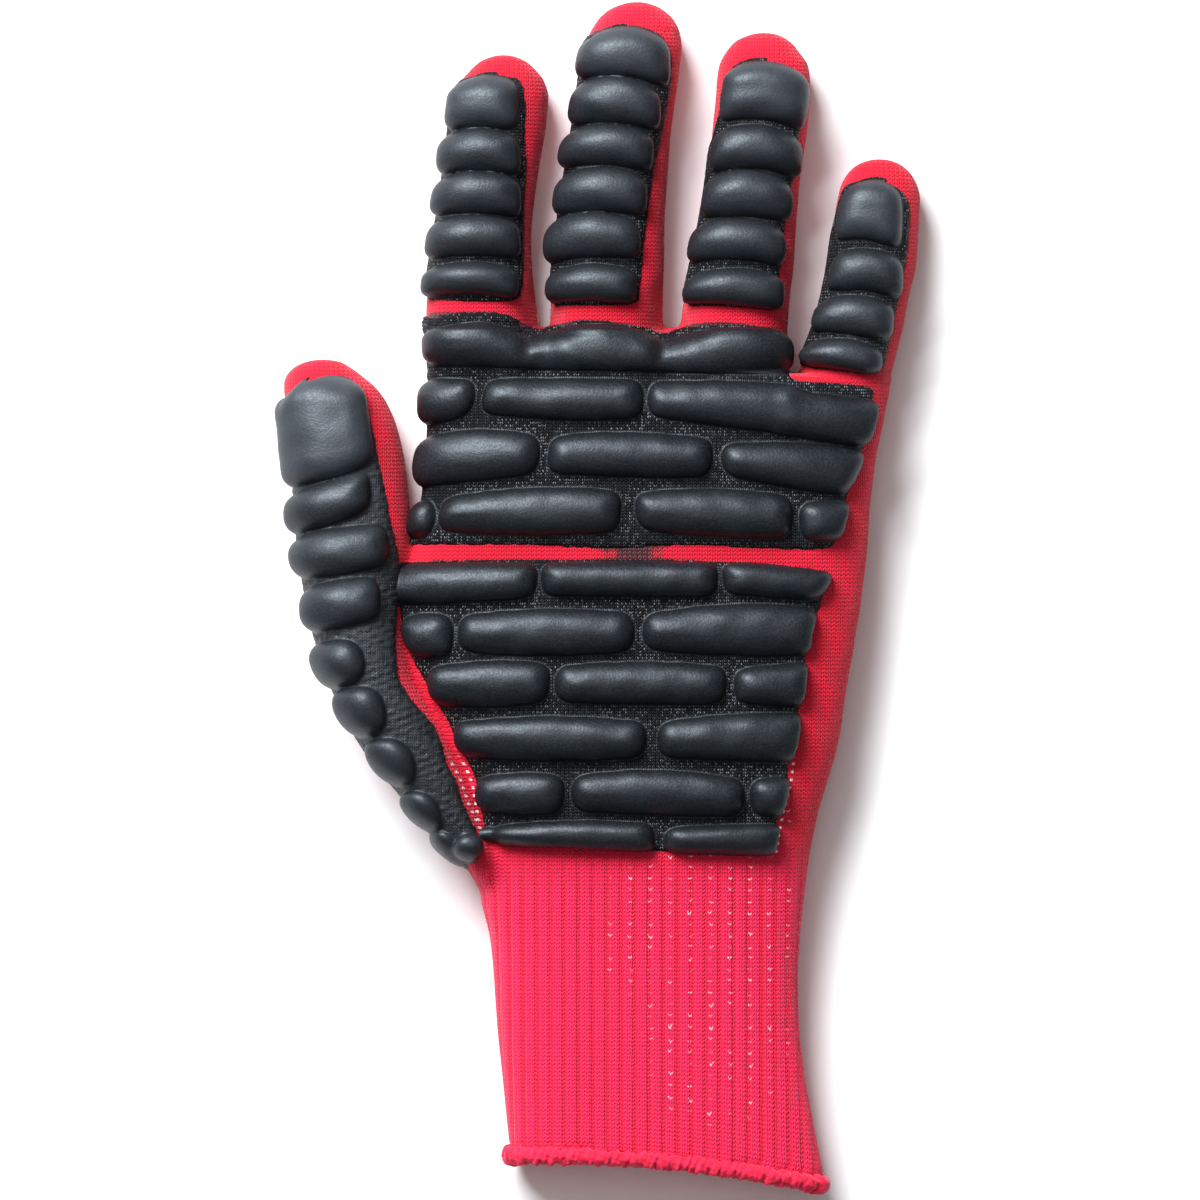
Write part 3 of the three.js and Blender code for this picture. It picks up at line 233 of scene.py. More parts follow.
CUSHIONS_LOWER = [  # side, xtl, xbl, xtr, xbr, ytl, ytm, ytr, ybl, ybm, ybr
    (0, -44, -44.88, -13.42, -14.08, 7.7, 8.25, 8.14, -0.99, -0.77, 0.33),
    (0, -12.98, -12.76, 25.74, 25.52, 8.36, 8.58, 8.36, 0.77, 0.55, 0.55),
    (0, 26.4, 27.06, 52.36, 48.62, 8.36, 7.81, 6.16, 1.21, 0.33, -0.11),
    (0, -43.34, -41.8, -31.68, -31.9, -3.74, -2.86, -3.3, -11.99, -12.87, -12.43),
    (0, -31.02, -30.8, 7.7, 7.48, -3.52, -1.87, -2.86, -11.33, -12.32, -11.33),
    (0, 8.8, 9.46, 47.96, 46.64, -3.3, -0.88, -1.76, -10.89, -12.32, -12.21),
    (0, -38.06, -36.96, -10.56, -11.22, -14.96, -13.2, -13.86, -22.99, -23.65, -22.33),
    (0, -10.12, -9.68, 27.94, 27.28, -14.52, -13.42, -14.52, -22.33, -22.99, -22.77),
    (0, 29.04, 29.26, 46.42, 45.54, -14.96, -14.08, -13.2, -22.55, -23.21, -23.65),
    (0, -32.34, -30.8, 10.56, 9.9, -26.84, -25.3, -26.62, -34.43, -35.42, -34.43),
    (0, 12.1, 12.76, 45.32, 43.34, -26.84, -24.86, -24.86, -34.43, -35.31, -35.53),
    (0, -27.06, -26.62, -7.48, -7.92, -38.94, -37.73, -38.28, -46.53, -47.19, -46.75),
    (0, -6.38, -6.16, 31.68, 31.46, -38.5, -37.07, -39.38, -46.09, -47.19, -47.41),
    (0, 32.34, 32.78, 42.24, 40.7, -39.38, -38.72, -38.72, -46.75, -47.63, -47.85),
    (0, -25.74, -25.52, -22, -22, -50.16, -49.72, -49.94, -52.47, -52.91, -52.91),
    (0, -23.32, -23.1, 12.1, 12.1, -49.5, -48.18, -48.84, -53.79, -54.89, -55.33),
    (0, 13.86, 13.86, 40.04, 39.38, -49.72, -49.06, -49.06, -55.33, -55.88, -56.21),
]

# Outlines of the rubber panels as seen from above, clockwise from the top left.
EDGE_INDEX = [  # x, y
    (-31.9, 114.18), (-28.6, 115.28), (-18.7, 114.84), (-16.94, 113.52), (-16.28, 107.8),
    (-16.72, 101.2), (-16.06, 94.6), (-16.72, 88), (-16.72, 79.2), (-16.94, 69.3),
    (-17.6, 65.34), (-28.6, 65.34), (-38.72, 66), (-38.94, 72.6), (-38.06, 79.2), (-37.18, 88),
    (-35.86, 96.8), (-34.32, 103.4), (-33.44, 108.9), (-32.78, 112.2),
]
EDGE_MIDDLE = [  # x, y
    (-2.2, 124.96), (2.2, 126.06), (8.8, 126.06), (13.64, 124.08), (15.62, 120.56),
    (15.84, 115.5), (14.96, 110), (13.86, 104.5), (12.76, 99), (11.44, 92.4), (10.56, 85.8),
    (9.46, 77), (8.8, 68.2), (8.36, 64.68), (0, 64.46), (-11.44, 64.68), (-11.88, 69.3),
    (-11.22, 77), (-10.12, 84.7), (-8.58, 92.4), (-7.04, 101.2), (-5.72, 110), (-4.84, 117.7),
    (-3.74, 122.76),
]
EDGE_RING = [  # x, y
    (28.6, 117.04), (33, 118.36), (40.7, 117.48), (44, 114.84), (44.88, 110), (43.78, 103.4),
    (43.12, 96.8), (41.8, 90.2), (40.7, 83.6), (39.82, 77), (39.16, 69.3), (39.16, 63.36),
    (30.8, 64.24), (18.26, 64.68), (18.48, 68.2), (19.58, 74.8), (21.34, 82.5), (22.88, 90.2),
    (23.76, 96.8), (25.4, 104), (27, 110), (28.2, 114.4),
]
EDGE_LITTLE = [  # x, y
    (53.9, 91.74), (59.4, 92.4), (66, 90.64), (68.2, 86.9), (67.98, 81.4), (67.32, 74.8),
    (66.44, 70.4), (65.12, 63.8), (63.8, 58.3), (62.04, 49.5), (55, 49.94), (43.34, 51.48),
    (43.34, 55), (45.54, 58.3), (47.96, 63.8), (49.5, 69.3), (50.38, 74.8), (51.26, 80.3),
    (52.36, 86.9),
]
EDGE_THUMB = [  # x, y
    (-67.76, 44.44), (-64.9, 47.08), (-60.5, 48.84), (-56.76, 49.28), (-54.34, 48.4),
    (-52.14, 44), (-50.38, 39.6), (-49.28, 35.2), (-48.62, 30.8), (-47.52, 26.4), (-46.64, 22),
    (-45.98, 17.6), (-44.88, 13.2), (-44, 8.8), (-44, 4.4), (-44.66, -4.4), (-44.88, -8.8),
    (-44.66, -13.2), (-44, -17.6), (-41.14, -22), (-37.18, -26.4), (-34.76, -30.8),
    (-33.88, -35.2), (-31.46, -39.6), (-30.14, -44), (-28.16, -48.4), (-26.18, -52.8),
    (-26.84, -57.64), (-30.36, -58.3), (-34.1, -57.42), (-36.96, -52.36), (-41.8, -47.3),
    (-46.86, -41.8), (-51.92, -36.3), (-56.76, -29.7), (-60.72, -22), (-63.8, -13.2),
    (-65.78, -4.4), (-67.32, 5.5), (-68.64, 15.4), (-69.52, 24.2), (-70.4, 33), (-69.96, 39.6),
]
EDGE_UPPER = [  # x, y
    (-38.5, 62.92), (-35.2, 63.14), (-28.6, 63.14), (-22, 63.14), (-18.7, 62.04),
    (-15.84, 60.28), (-13.2, 59.62), (-9.9, 60.72), (-5.5, 61.38), (0, 61.38), (5.5, 60.72),
    (9.9, 59.84), (14.08, 58.52), (17.16, 59.84), (22, 60.94), (27.5, 60.94), (31.9, 60.5),
    (36.3, 59.84), (40.04, 58.74), (40.7, 56.1), (40.7, 51.7), (41.8, 48.4), (44, 47.96),
    (50.6, 47.52), (60.06, 47.08), (59.62, 42.9), (58.52, 38.5), (57.64, 33.44), (56.1, 28.6),
    (55, 25.3), (53.9, 22), (52.8, 17.6), (51.92, 14.3), (51.26, 11.22), (44, 11),
    (37.4, 11.22), (30.8, 11.44), (25.3, 11.88), (19.8, 12.1), (14.3, 11.88), (8.8, 11.44),
    (2.2, 11.22), (-2.2, 11.44), (-8.8, 11.66), (-15.4, 12.1), (-22, 12.1), (-30.8, 12.1),
    (-40.7, 12.1), (-41.8, 13.2), (-40.92, 18.7), (-39.6, 24.2), (-38.72, 31.9), (-38.5, 39.6),
    (-38.5, 48.4), (-38.5, 56.1),
]
EDGE_LOWER = [  # x, y
    (-43.34, 8.36), (-37.4, 8.58), (-26.4, 8.8), (-17.6, 8.8), (-8.8, 8.8), (0, 8.8),
    (8.8, 8.8), (22, 8.58), (28.6, 8.36), (35.2, 7.92), (41.8, 7.04), (47.3, 6.38),
    (50.82, 5.5), (50.38, 3.3), (48.84, 1.1), (47.96, -2.2), (45.98, -5.5), (45.32, -8.8),
    (44.88, -13.2), (44.22, -17.6), (43.56, -22), (43.12, -26.4), (42.24, -31.9),
    (41.36, -35.2), (40.92, -39.6), (39.82, -44), (38.72, -48.4), (38.06, -52.8),
    (37.62, -55.88), (30.8, -55.88), (22, -55.44), (13.2, -55), (4.4, -54.34), (-4.4, -53.9),
    (-13.2, -53.68), (-22, -53.46), (-24.86, -53.02), (-25.52, -48.4), (-26.4, -44),
    (-26.84, -40.7), (-28.38, -36.3), (-31.24, -31.9), (-33, -26.84), (-35.86, -22.44),
    (-38.28, -18.04), (-40.7, -13.64), (-42.46, -9.24), (-43.34, -3.3), (-43.56, 2.2),
    (-43.56, 5.5),
]



# ------------------------------------------------------------- small helpers
def smooth_curve(x, y, at):
    """Curve through (x, y), rising only where the points rise, with straight ends."""
    x, y = np.asarray(x, float), np.asarray(y, float)
    step, rise = np.diff(x), np.diff(y) / np.diff(x)
    slope = np.empty_like(x)
    slope[0], slope[-1] = rise[0], rise[-1]
    a, b = rise[:-1], rise[1:]
    same = a * b > 0
    w1, w2 = 2 * step[1:] + step[:-1], step[1:] + 2 * step[:-1]
    with np.errstate(divide="ignore", invalid="ignore"):
        slope[1:-1] = np.where(same, (w1 + w2) / (w1 / a + w2 / b), 0)
    at = np.asarray(at, float)
    k = np.clip(np.searchsorted(x, at) - 1, 0, len(x) - 2)
    t = (np.clip(at, x[0], x[-1]) - x[k]) / step[k]
    value = (
        y[k] * (1 + 2 * t) * (1 - t) ** 2
        + slope[k] * step[k] * t * (1 - t) ** 2
        + y[k + 1] * t * t * (3 - 2 * t)
        - slope[k + 1] * step[k] * t * t * (1 - t)
    )
    value += np.minimum(at - x[0], 0) * slope[0]
    return value + np.maximum(at - x[-1], 0) * slope[-1]


def wobble(x, y, size, seed):
    """Smooth unevenness between about -1 and 1, with bumps about size mm across."""
    rng = np.random.default_rng(seed)
    total = 0
    for _ in range(8):
        turn, pitch, start = rng.uniform(0, np.pi), rng.uniform(0.6, 1.5), rng.uniform(0, 6.3)
        k = 2 * np.pi * pitch / size
        total = total + np.sin(k * (np.cos(turn) * x + np.sin(turn) * y) + start)
    return total / 4


def ease(low, high, value):
    t = np.clip((value - low) / (high - low), 0, 1)
    return t * t * (3 - 2 * t)


def blend_min(a, b, width):
    h = np.maximum(width - np.abs(a - b), 0) / width
    return np.minimum(a, b) - h * h * width / 4


def blend_max(a, b, width):
    return -blend_min(-a, -b, width)


# ------------------------------------------------------------ the knit's form
class Form:
    """One stall or the hand: a tube whose section changes along y."""

    def __init__(self, rows, round_top, round_under, blend, end=0.0):
        rows = np.array(sorted(r[:5] for r in rows), float)
        y, xl, xr, zt, zb = rows.T
        self.low, self.high = y[0], y[-1]
        self.round, self.blend, self.end = (round_top, round_under), blend, end
        self.ys = ys = np.arange(y[0] - 12, y[-1] + 5, 0.1)
        base = np.maximum(ys, y[0])
        half = (xr - xl) / 2
        middle = zb + 0.42 * (zt - zb)
        under = middle - zb + FLOOR_DROP * np.minimum(1, half / 10)
        inner = np.minimum(base, y[-1])
        self.c = smooth_curve(y, (xl + xr) / 2, inner)
        self.h2 = smooth_curve(y, half**2, base)
        self.m = smooth_curve(y, middle, inner)
        self.t2 = smooth_curve(y, (zt - middle) ** 2, inner)
        self.b2 = smooth_curve(y, under**2, inner)
        self.box = (xl.min() - 5, xr.max() + 5, y[0] - 5, y[-1] + 5)
        self.arcs()

    def at(self, y):
        return [np.interp(y, self.ys, v) for v in (self.c, self.h2, self.m, self.t2, self.b2)]

    def field(self, x, y, z):
        c, h2, m, t2, b2 = self.at(y)
        h = np.sign(h2) * np.sqrt(np.abs(h2))
        inside = np.maximum(h2, 0.0025)
        q = np.sqrt(inside / np.maximum(np.where(z > m, t2, b2), 0.0025))
        n = np.where(z > m, self.round[0], self.round[1])
        u, w = np.abs(x - c) + 1e-6, q * np.abs(z - m) + 1e-6
        return (u**n + w**n) ** (1 / n) - h

    def distance(self, x, y, z):
        e = 0.12
        f = self.field(x, y, z)
        gx = self.field(x + e, y, z) - self.field(x - e, y, z)
        gy = self.field(x, y + e, z) - self.field(x, y - e, z)
        gz = self.field(x, y, z + e) - self.field(x, y, z - e)
        slope = np.sqrt(gx * gx + gy * gy + gz * gz) / (2 * e)
        d = f / np.clip(slope, 0.35, 12)
        if self.end:
            d = blend_max(d, y - self.high, self.end)
        return np.maximum(d, self.low - y)

    def arcs(self):
        """Length round the section from its top (or bottom) middle to each angle."""
        self.arc_y = np.arange(self.low, self.high + 2, 2.0)
        self.arc_a = np.linspace(0, np.pi / 2, 41)
        c, h2, m, t2, b2 = self.at(self.arc_y)
        h = np.sqrt(np.maximum(h2, 0.01))[:, None]
        tables = []
        for r2, n in ((t2, self.round[0]), (b2, self.round[1])):
            r = np.sqrt(np.maximum(r2, 0.01))[:, None]
            x, z = h * np.cos(self.arc_a) ** (2 / n), r * np.sin(self.arc_a) ** (2 / n)
            part = np.hypot(np.diff(x), np.diff(z))
            tables.append(np.hstack([np.cumsum(part[:, ::-1], 1)[:, ::-1], np.zeros((len(h), 1))]))
        tables[1] *= tables[0][:, :1] / tables[1][:, :1]
        self.arc = tables

    def across(self, x, y, z):
        """Place across the knit, measured along it from the section's middle."""
        c, h2, m, t2, b2 = self.at(y)
        top = z > m
        n = np.where(top, self.round[0], self.round[1])
        u = np.abs(x - c) / np.sqrt(np.maximum(h2, 0.01))
        w = np.abs(z - m) / np.sqrt(np.maximum(np.where(top, t2, b2), 0.01))
        turn = np.arctan2(w ** (n / 2), u ** (n / 2))
        i = np.clip((y - self.arc_y[0]) / 2.0, 0, len(self.arc_y) - 1.001)
        j = np.clip(turn / self.arc_a[1], 0, 39.999)
        i0, j0 = i.astype(int), j.astype(int)
        i, j = i - i0, j - j0
        out = 0
        for table, mask in ((self.arc[0], top), (self.arc[1], ~top)):
            v = (
                table[i0, j0] * (1 - i) * (1 - j)
                + table[i0 + 1, j0] * i * (1 - j)
                + table[i0, j0 + 1] * (1 - i) * j
                + table[i0 + 1, j0 + 1] * i * j
            )
            out = out + np.where(mask, v, 0)
        flat = ease(0.6, 0.35, u)
        return c + np.sign(x - c) * (out * (1 - flat) + np.abs(x - c) * flat)


HAND_WAVE = np.array(sorted((r[0], r[5], r[6], r[1], r[2]) for r in HAND), float).T


def level(x, y):
    """Height of a point in the cuff's own courses, which run in a wave at its end."""
    ys, drop, bow, xl, xr = HAND_WAVE
    row = y
    for _ in range(5):
        a, b = np.interp(row, ys, xl), np.interp(row, ys, xr)
        t = np.clip((x - a) / (b - a), 0, 1)
        row = y + np.interp(row, ys, drop) * t - np.interp(row, ys, bow) * 4 * t * (1 - t)
        row = np.where(y > -80, y, row)
    return row


FORMS = {
    "hand": Form(HAND, *BODY, 1.5, end=1.2),
    "saddle": Form(SADDLE, 2.4, 3.0, 3.0, end=4.0),
    "thumb": Form(THUMB, *DIGIT, 2.2),
    "index": Form(INDEX, *DIGIT, 1.0),
    "middle": Form(MIDDLE, *DIGIT, 1.0),
    "ring": Form(RING, *DIGIT, 1.0),
    "little": Form(LITTLE, *DIGIT, 1.0),
}


VALLEYS = (-13.2, 15.0)  # x of the dips between the finger roots


def knit_distance(x, y, z, parts=False):
    """Distance to the knit's outer face, negative inside it."""
    x, y, z = np.broadcast_arrays(x, y, z)
    shape = x.shape
    x, y, z = x.ravel(), y.ravel(), z.ravel()
    total, each = np.full(x.shape, 9.0), {}
    for name, form in FORMS.items():
        row = level(x, y) if name == "hand" else y
        x0, x1, y0, y1 = form.box
        if name == "hand":
            y0 -= 8
        near = (x > x0) & (x < x1) & (row > y0) & (row < y1)
        d = np.full(x.shape, 9.0)
        if near.any():
            if name == "hand":
                below = np.maximum(row[near], form.low + 0.05)
                d[near] = form.distance(x[near], below, z[near])
            else:
                d[near] = form.distance(x[near], row[near], z[near])
        each[name] = d
        total = blend_min(total, d, form.blend)
    for at in VALLEYS:
        total = total + 2.0 * np.exp(-(((x - at) / 3.6) ** 2)) * ease(38, 58, y) * ease(72, 64, y) * ease(6, 14, z)
    total = blend_max(total, -z, 1.0)
    total = total.reshape(shape)
    return (total, each) if parts else total


def slope_of(distance, x, y, z, e=0.15):
    g = np.stack(
        [
            distance(x + e, y, z) - distance(x - e, y, z),
            distance(x, y + e, z) - distance(x, y - e, z),
            distance(x, y, z + e) - distance(x, y, z - e),
        ],
        -1,
    )
    return g / (2 * e)


# --------------------------------------------------- surface of a filled grid
def skin_of(field, low, step):
    """Quads where the field crosses zero, one vertex in each mixed cell."""
    inside = field < 0
    n = [s - 1 for s in field.shape]
    count = np.zeros(n, np.int8)
    for i in (0, 1):
        for j in (0, 1):
            for k in (0, 1):
                count += inside[i : i + n[0], j : j + n[1], k : k + n[2]]
    mixed = (count > 0) & (count < 8)
    cells = np.argwhere(mixed)
    index = np.full(mixed.shape, -1)
    index[mixed] = np.arange(len(cells))
    total, hits = np.zeros((len(cells), 3)), np.zeros(len(cells))
    for axis in range(3):
        for p in (0, 1):
            for q in (0, 1):
                a = cells.copy()
                a[:, (axis + 1) % 3] += p
                a[:, (axis + 2) % 3] += q
                b = a.copy()
                b[:, axis] += 1
                fa, fb = field[tuple(a.T)], field[tuple(b.T)]
                cross = (fa < 0) != (fb < 0)
                t = np.where(cross, fa / np.where(cross, fa - fb, 1), 0)
                point = a.astype(float)
                point[:, axis] += t
                total += point * cross[:, None]
                hits += cross
    points = np.asarray(low) + np.asarray(step) * total / hits[:, None]
    quads = []
    for axis in range(3):
        u, v = (axis + 1) % 3, (axis + 2) % 3
        first = [slice(None)] * 3
        second = [slice(None)] * 3
        first[axis], second[axis] = slice(None, -1), slice(1, None)
        for side in (first, second):
            side[u], side[v] = slice(1, -1), slice(1, -1)
        a, b = inside[tuple(first)], inside[tuple(second)]
        for flip, mask in ((False, a & ~b), (True, ~a & b)):
            e = np.argwhere(mask)
            e[:, u] += 1
            e[:, v] += 1
            ring = []
            for du, dv in ((-1, -1), (0, -1), (0, 0), (-1, 0)):
                cell = e.copy()
                cell[:, u] += du
                cell[:, v] += dv
                ring.append(index[tuple(cell.T)])
            ring = np.stack(ring, 1)
            quads.append(ring[:, ::-1] if flip else ring)
    return points, np.concatenate(quads)


def make_object(name, points, faces, values=None):
    """Mesh object from points in mm of the drawing's frame and quads."""
    points = np.asarray(points, float).copy()
    points[:, 0] -= ORIGIN[0]
    points[:, 1] -= ORIGIN[1]
    mesh = bpy.data.meshes.new(name)
    size = faces.shape[1]
    mesh.vertices.add(len(points))
    mesh.vertices.foreach_set("co", (points * 0.001).astype(np.float32).ravel())
    mesh.loops.add(faces.size)
    mesh.loops.foreach_set("vertex_index", faces.astype(np.int32).ravel())
    mesh.polygons.add(len(faces))
    mesh.polygons.foreach_set("loop_start", np.arange(0, faces.size, size, dtype=np.int32))
    mesh.polygons.foreach_set("use_smooth", np.ones(len(faces), bool))
    mesh.update(calc_edges=True)
    for key, value in (values or {}).items():
        layer = mesh.attributes.new(key, "FLOAT", "POINT")
        layer.data.foreach_set("value", np.asarray(value, np.float32))
    mesh.validate()
    obj = bpy.data.objects.new(name, mesh)
    bpy.context.scene.collection.objects.link(obj)
    return obj


# ------------------------------------------------------------ panels' outlines
def loop_of(points, rounds=2):
    """Closed outline with its corners rounded."""
    p = np.asarray(points, float)
    for _ in range(rounds):
        q = np.roll(p, -1, 0)
        p = np.stack([0.78 * p + 0.22 * q, 0.22 * p + 0.78 * q], 1).reshape(-1, 2)
    return p


def outline_distance(px, py, loop):
    """Distance to a closed outline, positive inside it."""
    best = np.full(px.shape, 1e9)
    odd = np.zeros(px.shape, bool)
    for (ax, ay), (bx, by) in zip(loop, np.roll(loop, -1, 0)):
        ex, ey = bx - ax, by - ay
        t = np.clip(((px - ax) * ex + (py - ay) * ey) / (ex * ex + ey * ey + 1e-12), 0, 1)
        best = np.minimum(best, (px - ax - t * ex) ** 2 + (py - ay - t * ey) ** 2)
        spans = (ay > py) != (by > py)
        if abs(ey) > 1e-12:
            odd ^= spans & (px < ax + (py - ay) * ex / ey)
    return np.where(odd, 1, -1) * np.sqrt(best)


class Seat:
    """The knit's face under one panel, by length across it and height."""

    def __init__(self, form, low, high, left, right, step):
        self.step = step
        self.ys = np.arange(low, high + step, step)
        self.across = np.arange(left, right + step, step)
        self.low = (self.across[0], self.ys[0])
        c, h2, m, t2, b2 = form.at(self.ys)
        turn = np.linspace(np.pi + 1.3, -1.3, 521)
        co, si = np.cos(turn), np.sin(turn)
        h = np.sqrt(np.maximum(h2, 0.3))[:, None]
        n = np.where(si >= 0, form.round[0], form.round[1])
        r = np.where(si[None] >= 0, np.sqrt(np.maximum(t2, 0.3))[:, None], np.sqrt(np.maximum(b2, 0.3))[:, None])
        x = c[:, None] + h * np.sign(co) * np.abs(co) ** (2 / n)
        z = m[:, None] + r * np.sign(si) * np.abs(si) ** (2 / n)
        part = np.hypot(np.diff(x), np.diff(z))
        s = np.hstack([np.zeros((len(x), 1)), np.cumsum(part, 1)])
        middle = np.array([np.interp(0, -turn + np.pi / 2, row) for row in s])
        self.curve_a = s - middle[:, None] + c[:, None]
        self.curve_x = x
        first, last = np.searchsorted(-turn, -np.pi), np.searchsorted(-turn, 0)
        self.first, self.last = first, last
        self.left, self.right = self.curve_a[:, first], self.curve_a[:, last]
        self.x = np.array([np.interp(self.across, a, v) for a, v in zip(self.curve_a, x)])
        self.z = np.array([np.interp(self.across, a, v) for a, v in zip(self.curve_a, z)])
        self.y = np.repeat(self.ys[:, None], len(self.across), 1)
        tx, tz = np.gradient(self.x, axis=1), np.gradient(self.z, axis=1)
        nx, nz = -tz, tx
        for _ in range(6):
            nx, nz = self.soften(nx), self.soften(nz)
        long = np.hypot(nx, nz) + 1e-9
        self.nx, self.nz = nx / long, nz / long
        lift = 3 * ease(0.15, 0.6, self.nz)
        dx, dz = self.nx, self.nz + lift
        long = np.hypot(dx, dz) + 1e-9
        dx, dz = dx / long, dz / long
        t = np.zeros_like(self.x)
        for _ in range(7):
            x, z = self.x + t * dx, self.z + t * dz
            d = knit_distance(x, self.y, z)
            e = 0.15
            ahead = knit_distance(x + e * dx, self.y, z + e * dz)
            rate = np.clip((ahead - d) / e, 0.35, 3)
            t = np.clip(t - np.clip(d / rate, -1.5, 1.5), -1.5, 8)
        for _ in range(3):
            t = self.soften(t)
        self.x, self.z = self.x + t * dx, self.z + t * dz

    @staticmethod
    def soften(v):
        v = np.pad(v, 1, mode="edge")
        v = (v[:-2] + 2 * v[1:-1] + v[2:]) / 4
        return (v[:, :-2] + 2 * v[:, 1:-1] + v[:, 2:]) / 4

    def row(self, y):
        return int(np.clip(round((y - self.ys[0]) / self.step), 0, len(self.ys) - 1))

    def place(self, x, y):
        """Length across the knit of a point seen at x, y from above."""
        i = self.row(y)
        xs, a = self.curve_x[i, self.first : self.last + 1], self.curve_a[i, self.first : self.last + 1]
        if x < xs[0]:
            return a[0] + (x - xs[0])
        if x > xs[-1]:
            return a[-1] + (x - xs[-1])
        return float(np.interp(x, xs, a))

    def rim(self, x, y, height, edge):
        """Where a cushion starts, so that its rounded end is seen to reach x."""
        i = self.row(y)
        a = self.across
        low, high = -4.0, 9.0
        for _ in range(26):
            start = (low + high) / 2
            d = a - self.left[i] - start
            h = height * profile(d, edge)
            reach = np.where(d > 0, self.x[i] + self.nx[i] * h, 1e9).min()
            low, high = (start, high) if reach < x else (low, start)
        return (low + high) / 2

    def lookup(self, a, y, *grids):
        i = np.clip((y - self.low[1]) / self.step, 0, len(self.ys) - 1.001)
        j = np.clip((a - self.low[0]) / self.step, 0, len(self.across) - 1.001)
        i0, j0 = i.astype(int), j.astype(int)
        i, j = i - i0, j - j0
        return [
            g[i0, j0] * (1 - i) * (1 - j) + g[i0 + 1, j0] * i * (1 - j) + g[i0, j0 + 1] * (1 - i) * j + g[i0 + 1, j0 + 1] * i * j
            for g in grids
        ]


FULL = 2.05  # how full a cushion's rounded sides are
CORNER = 3.6  # and how square its corners


def profile(d, edge):
    u = np.clip(1 - d / edge, 0, 1)
    return (1 - u**FULL) ** (1 / FULL)


def along_edge(t, left, middle, right):
    """Height of a cushion's long edge, curved through its two ends and its middle."""
    return left * (1 - t) + right * t + 4 * t * (1 - t) * (middle - (left + right) / 2)


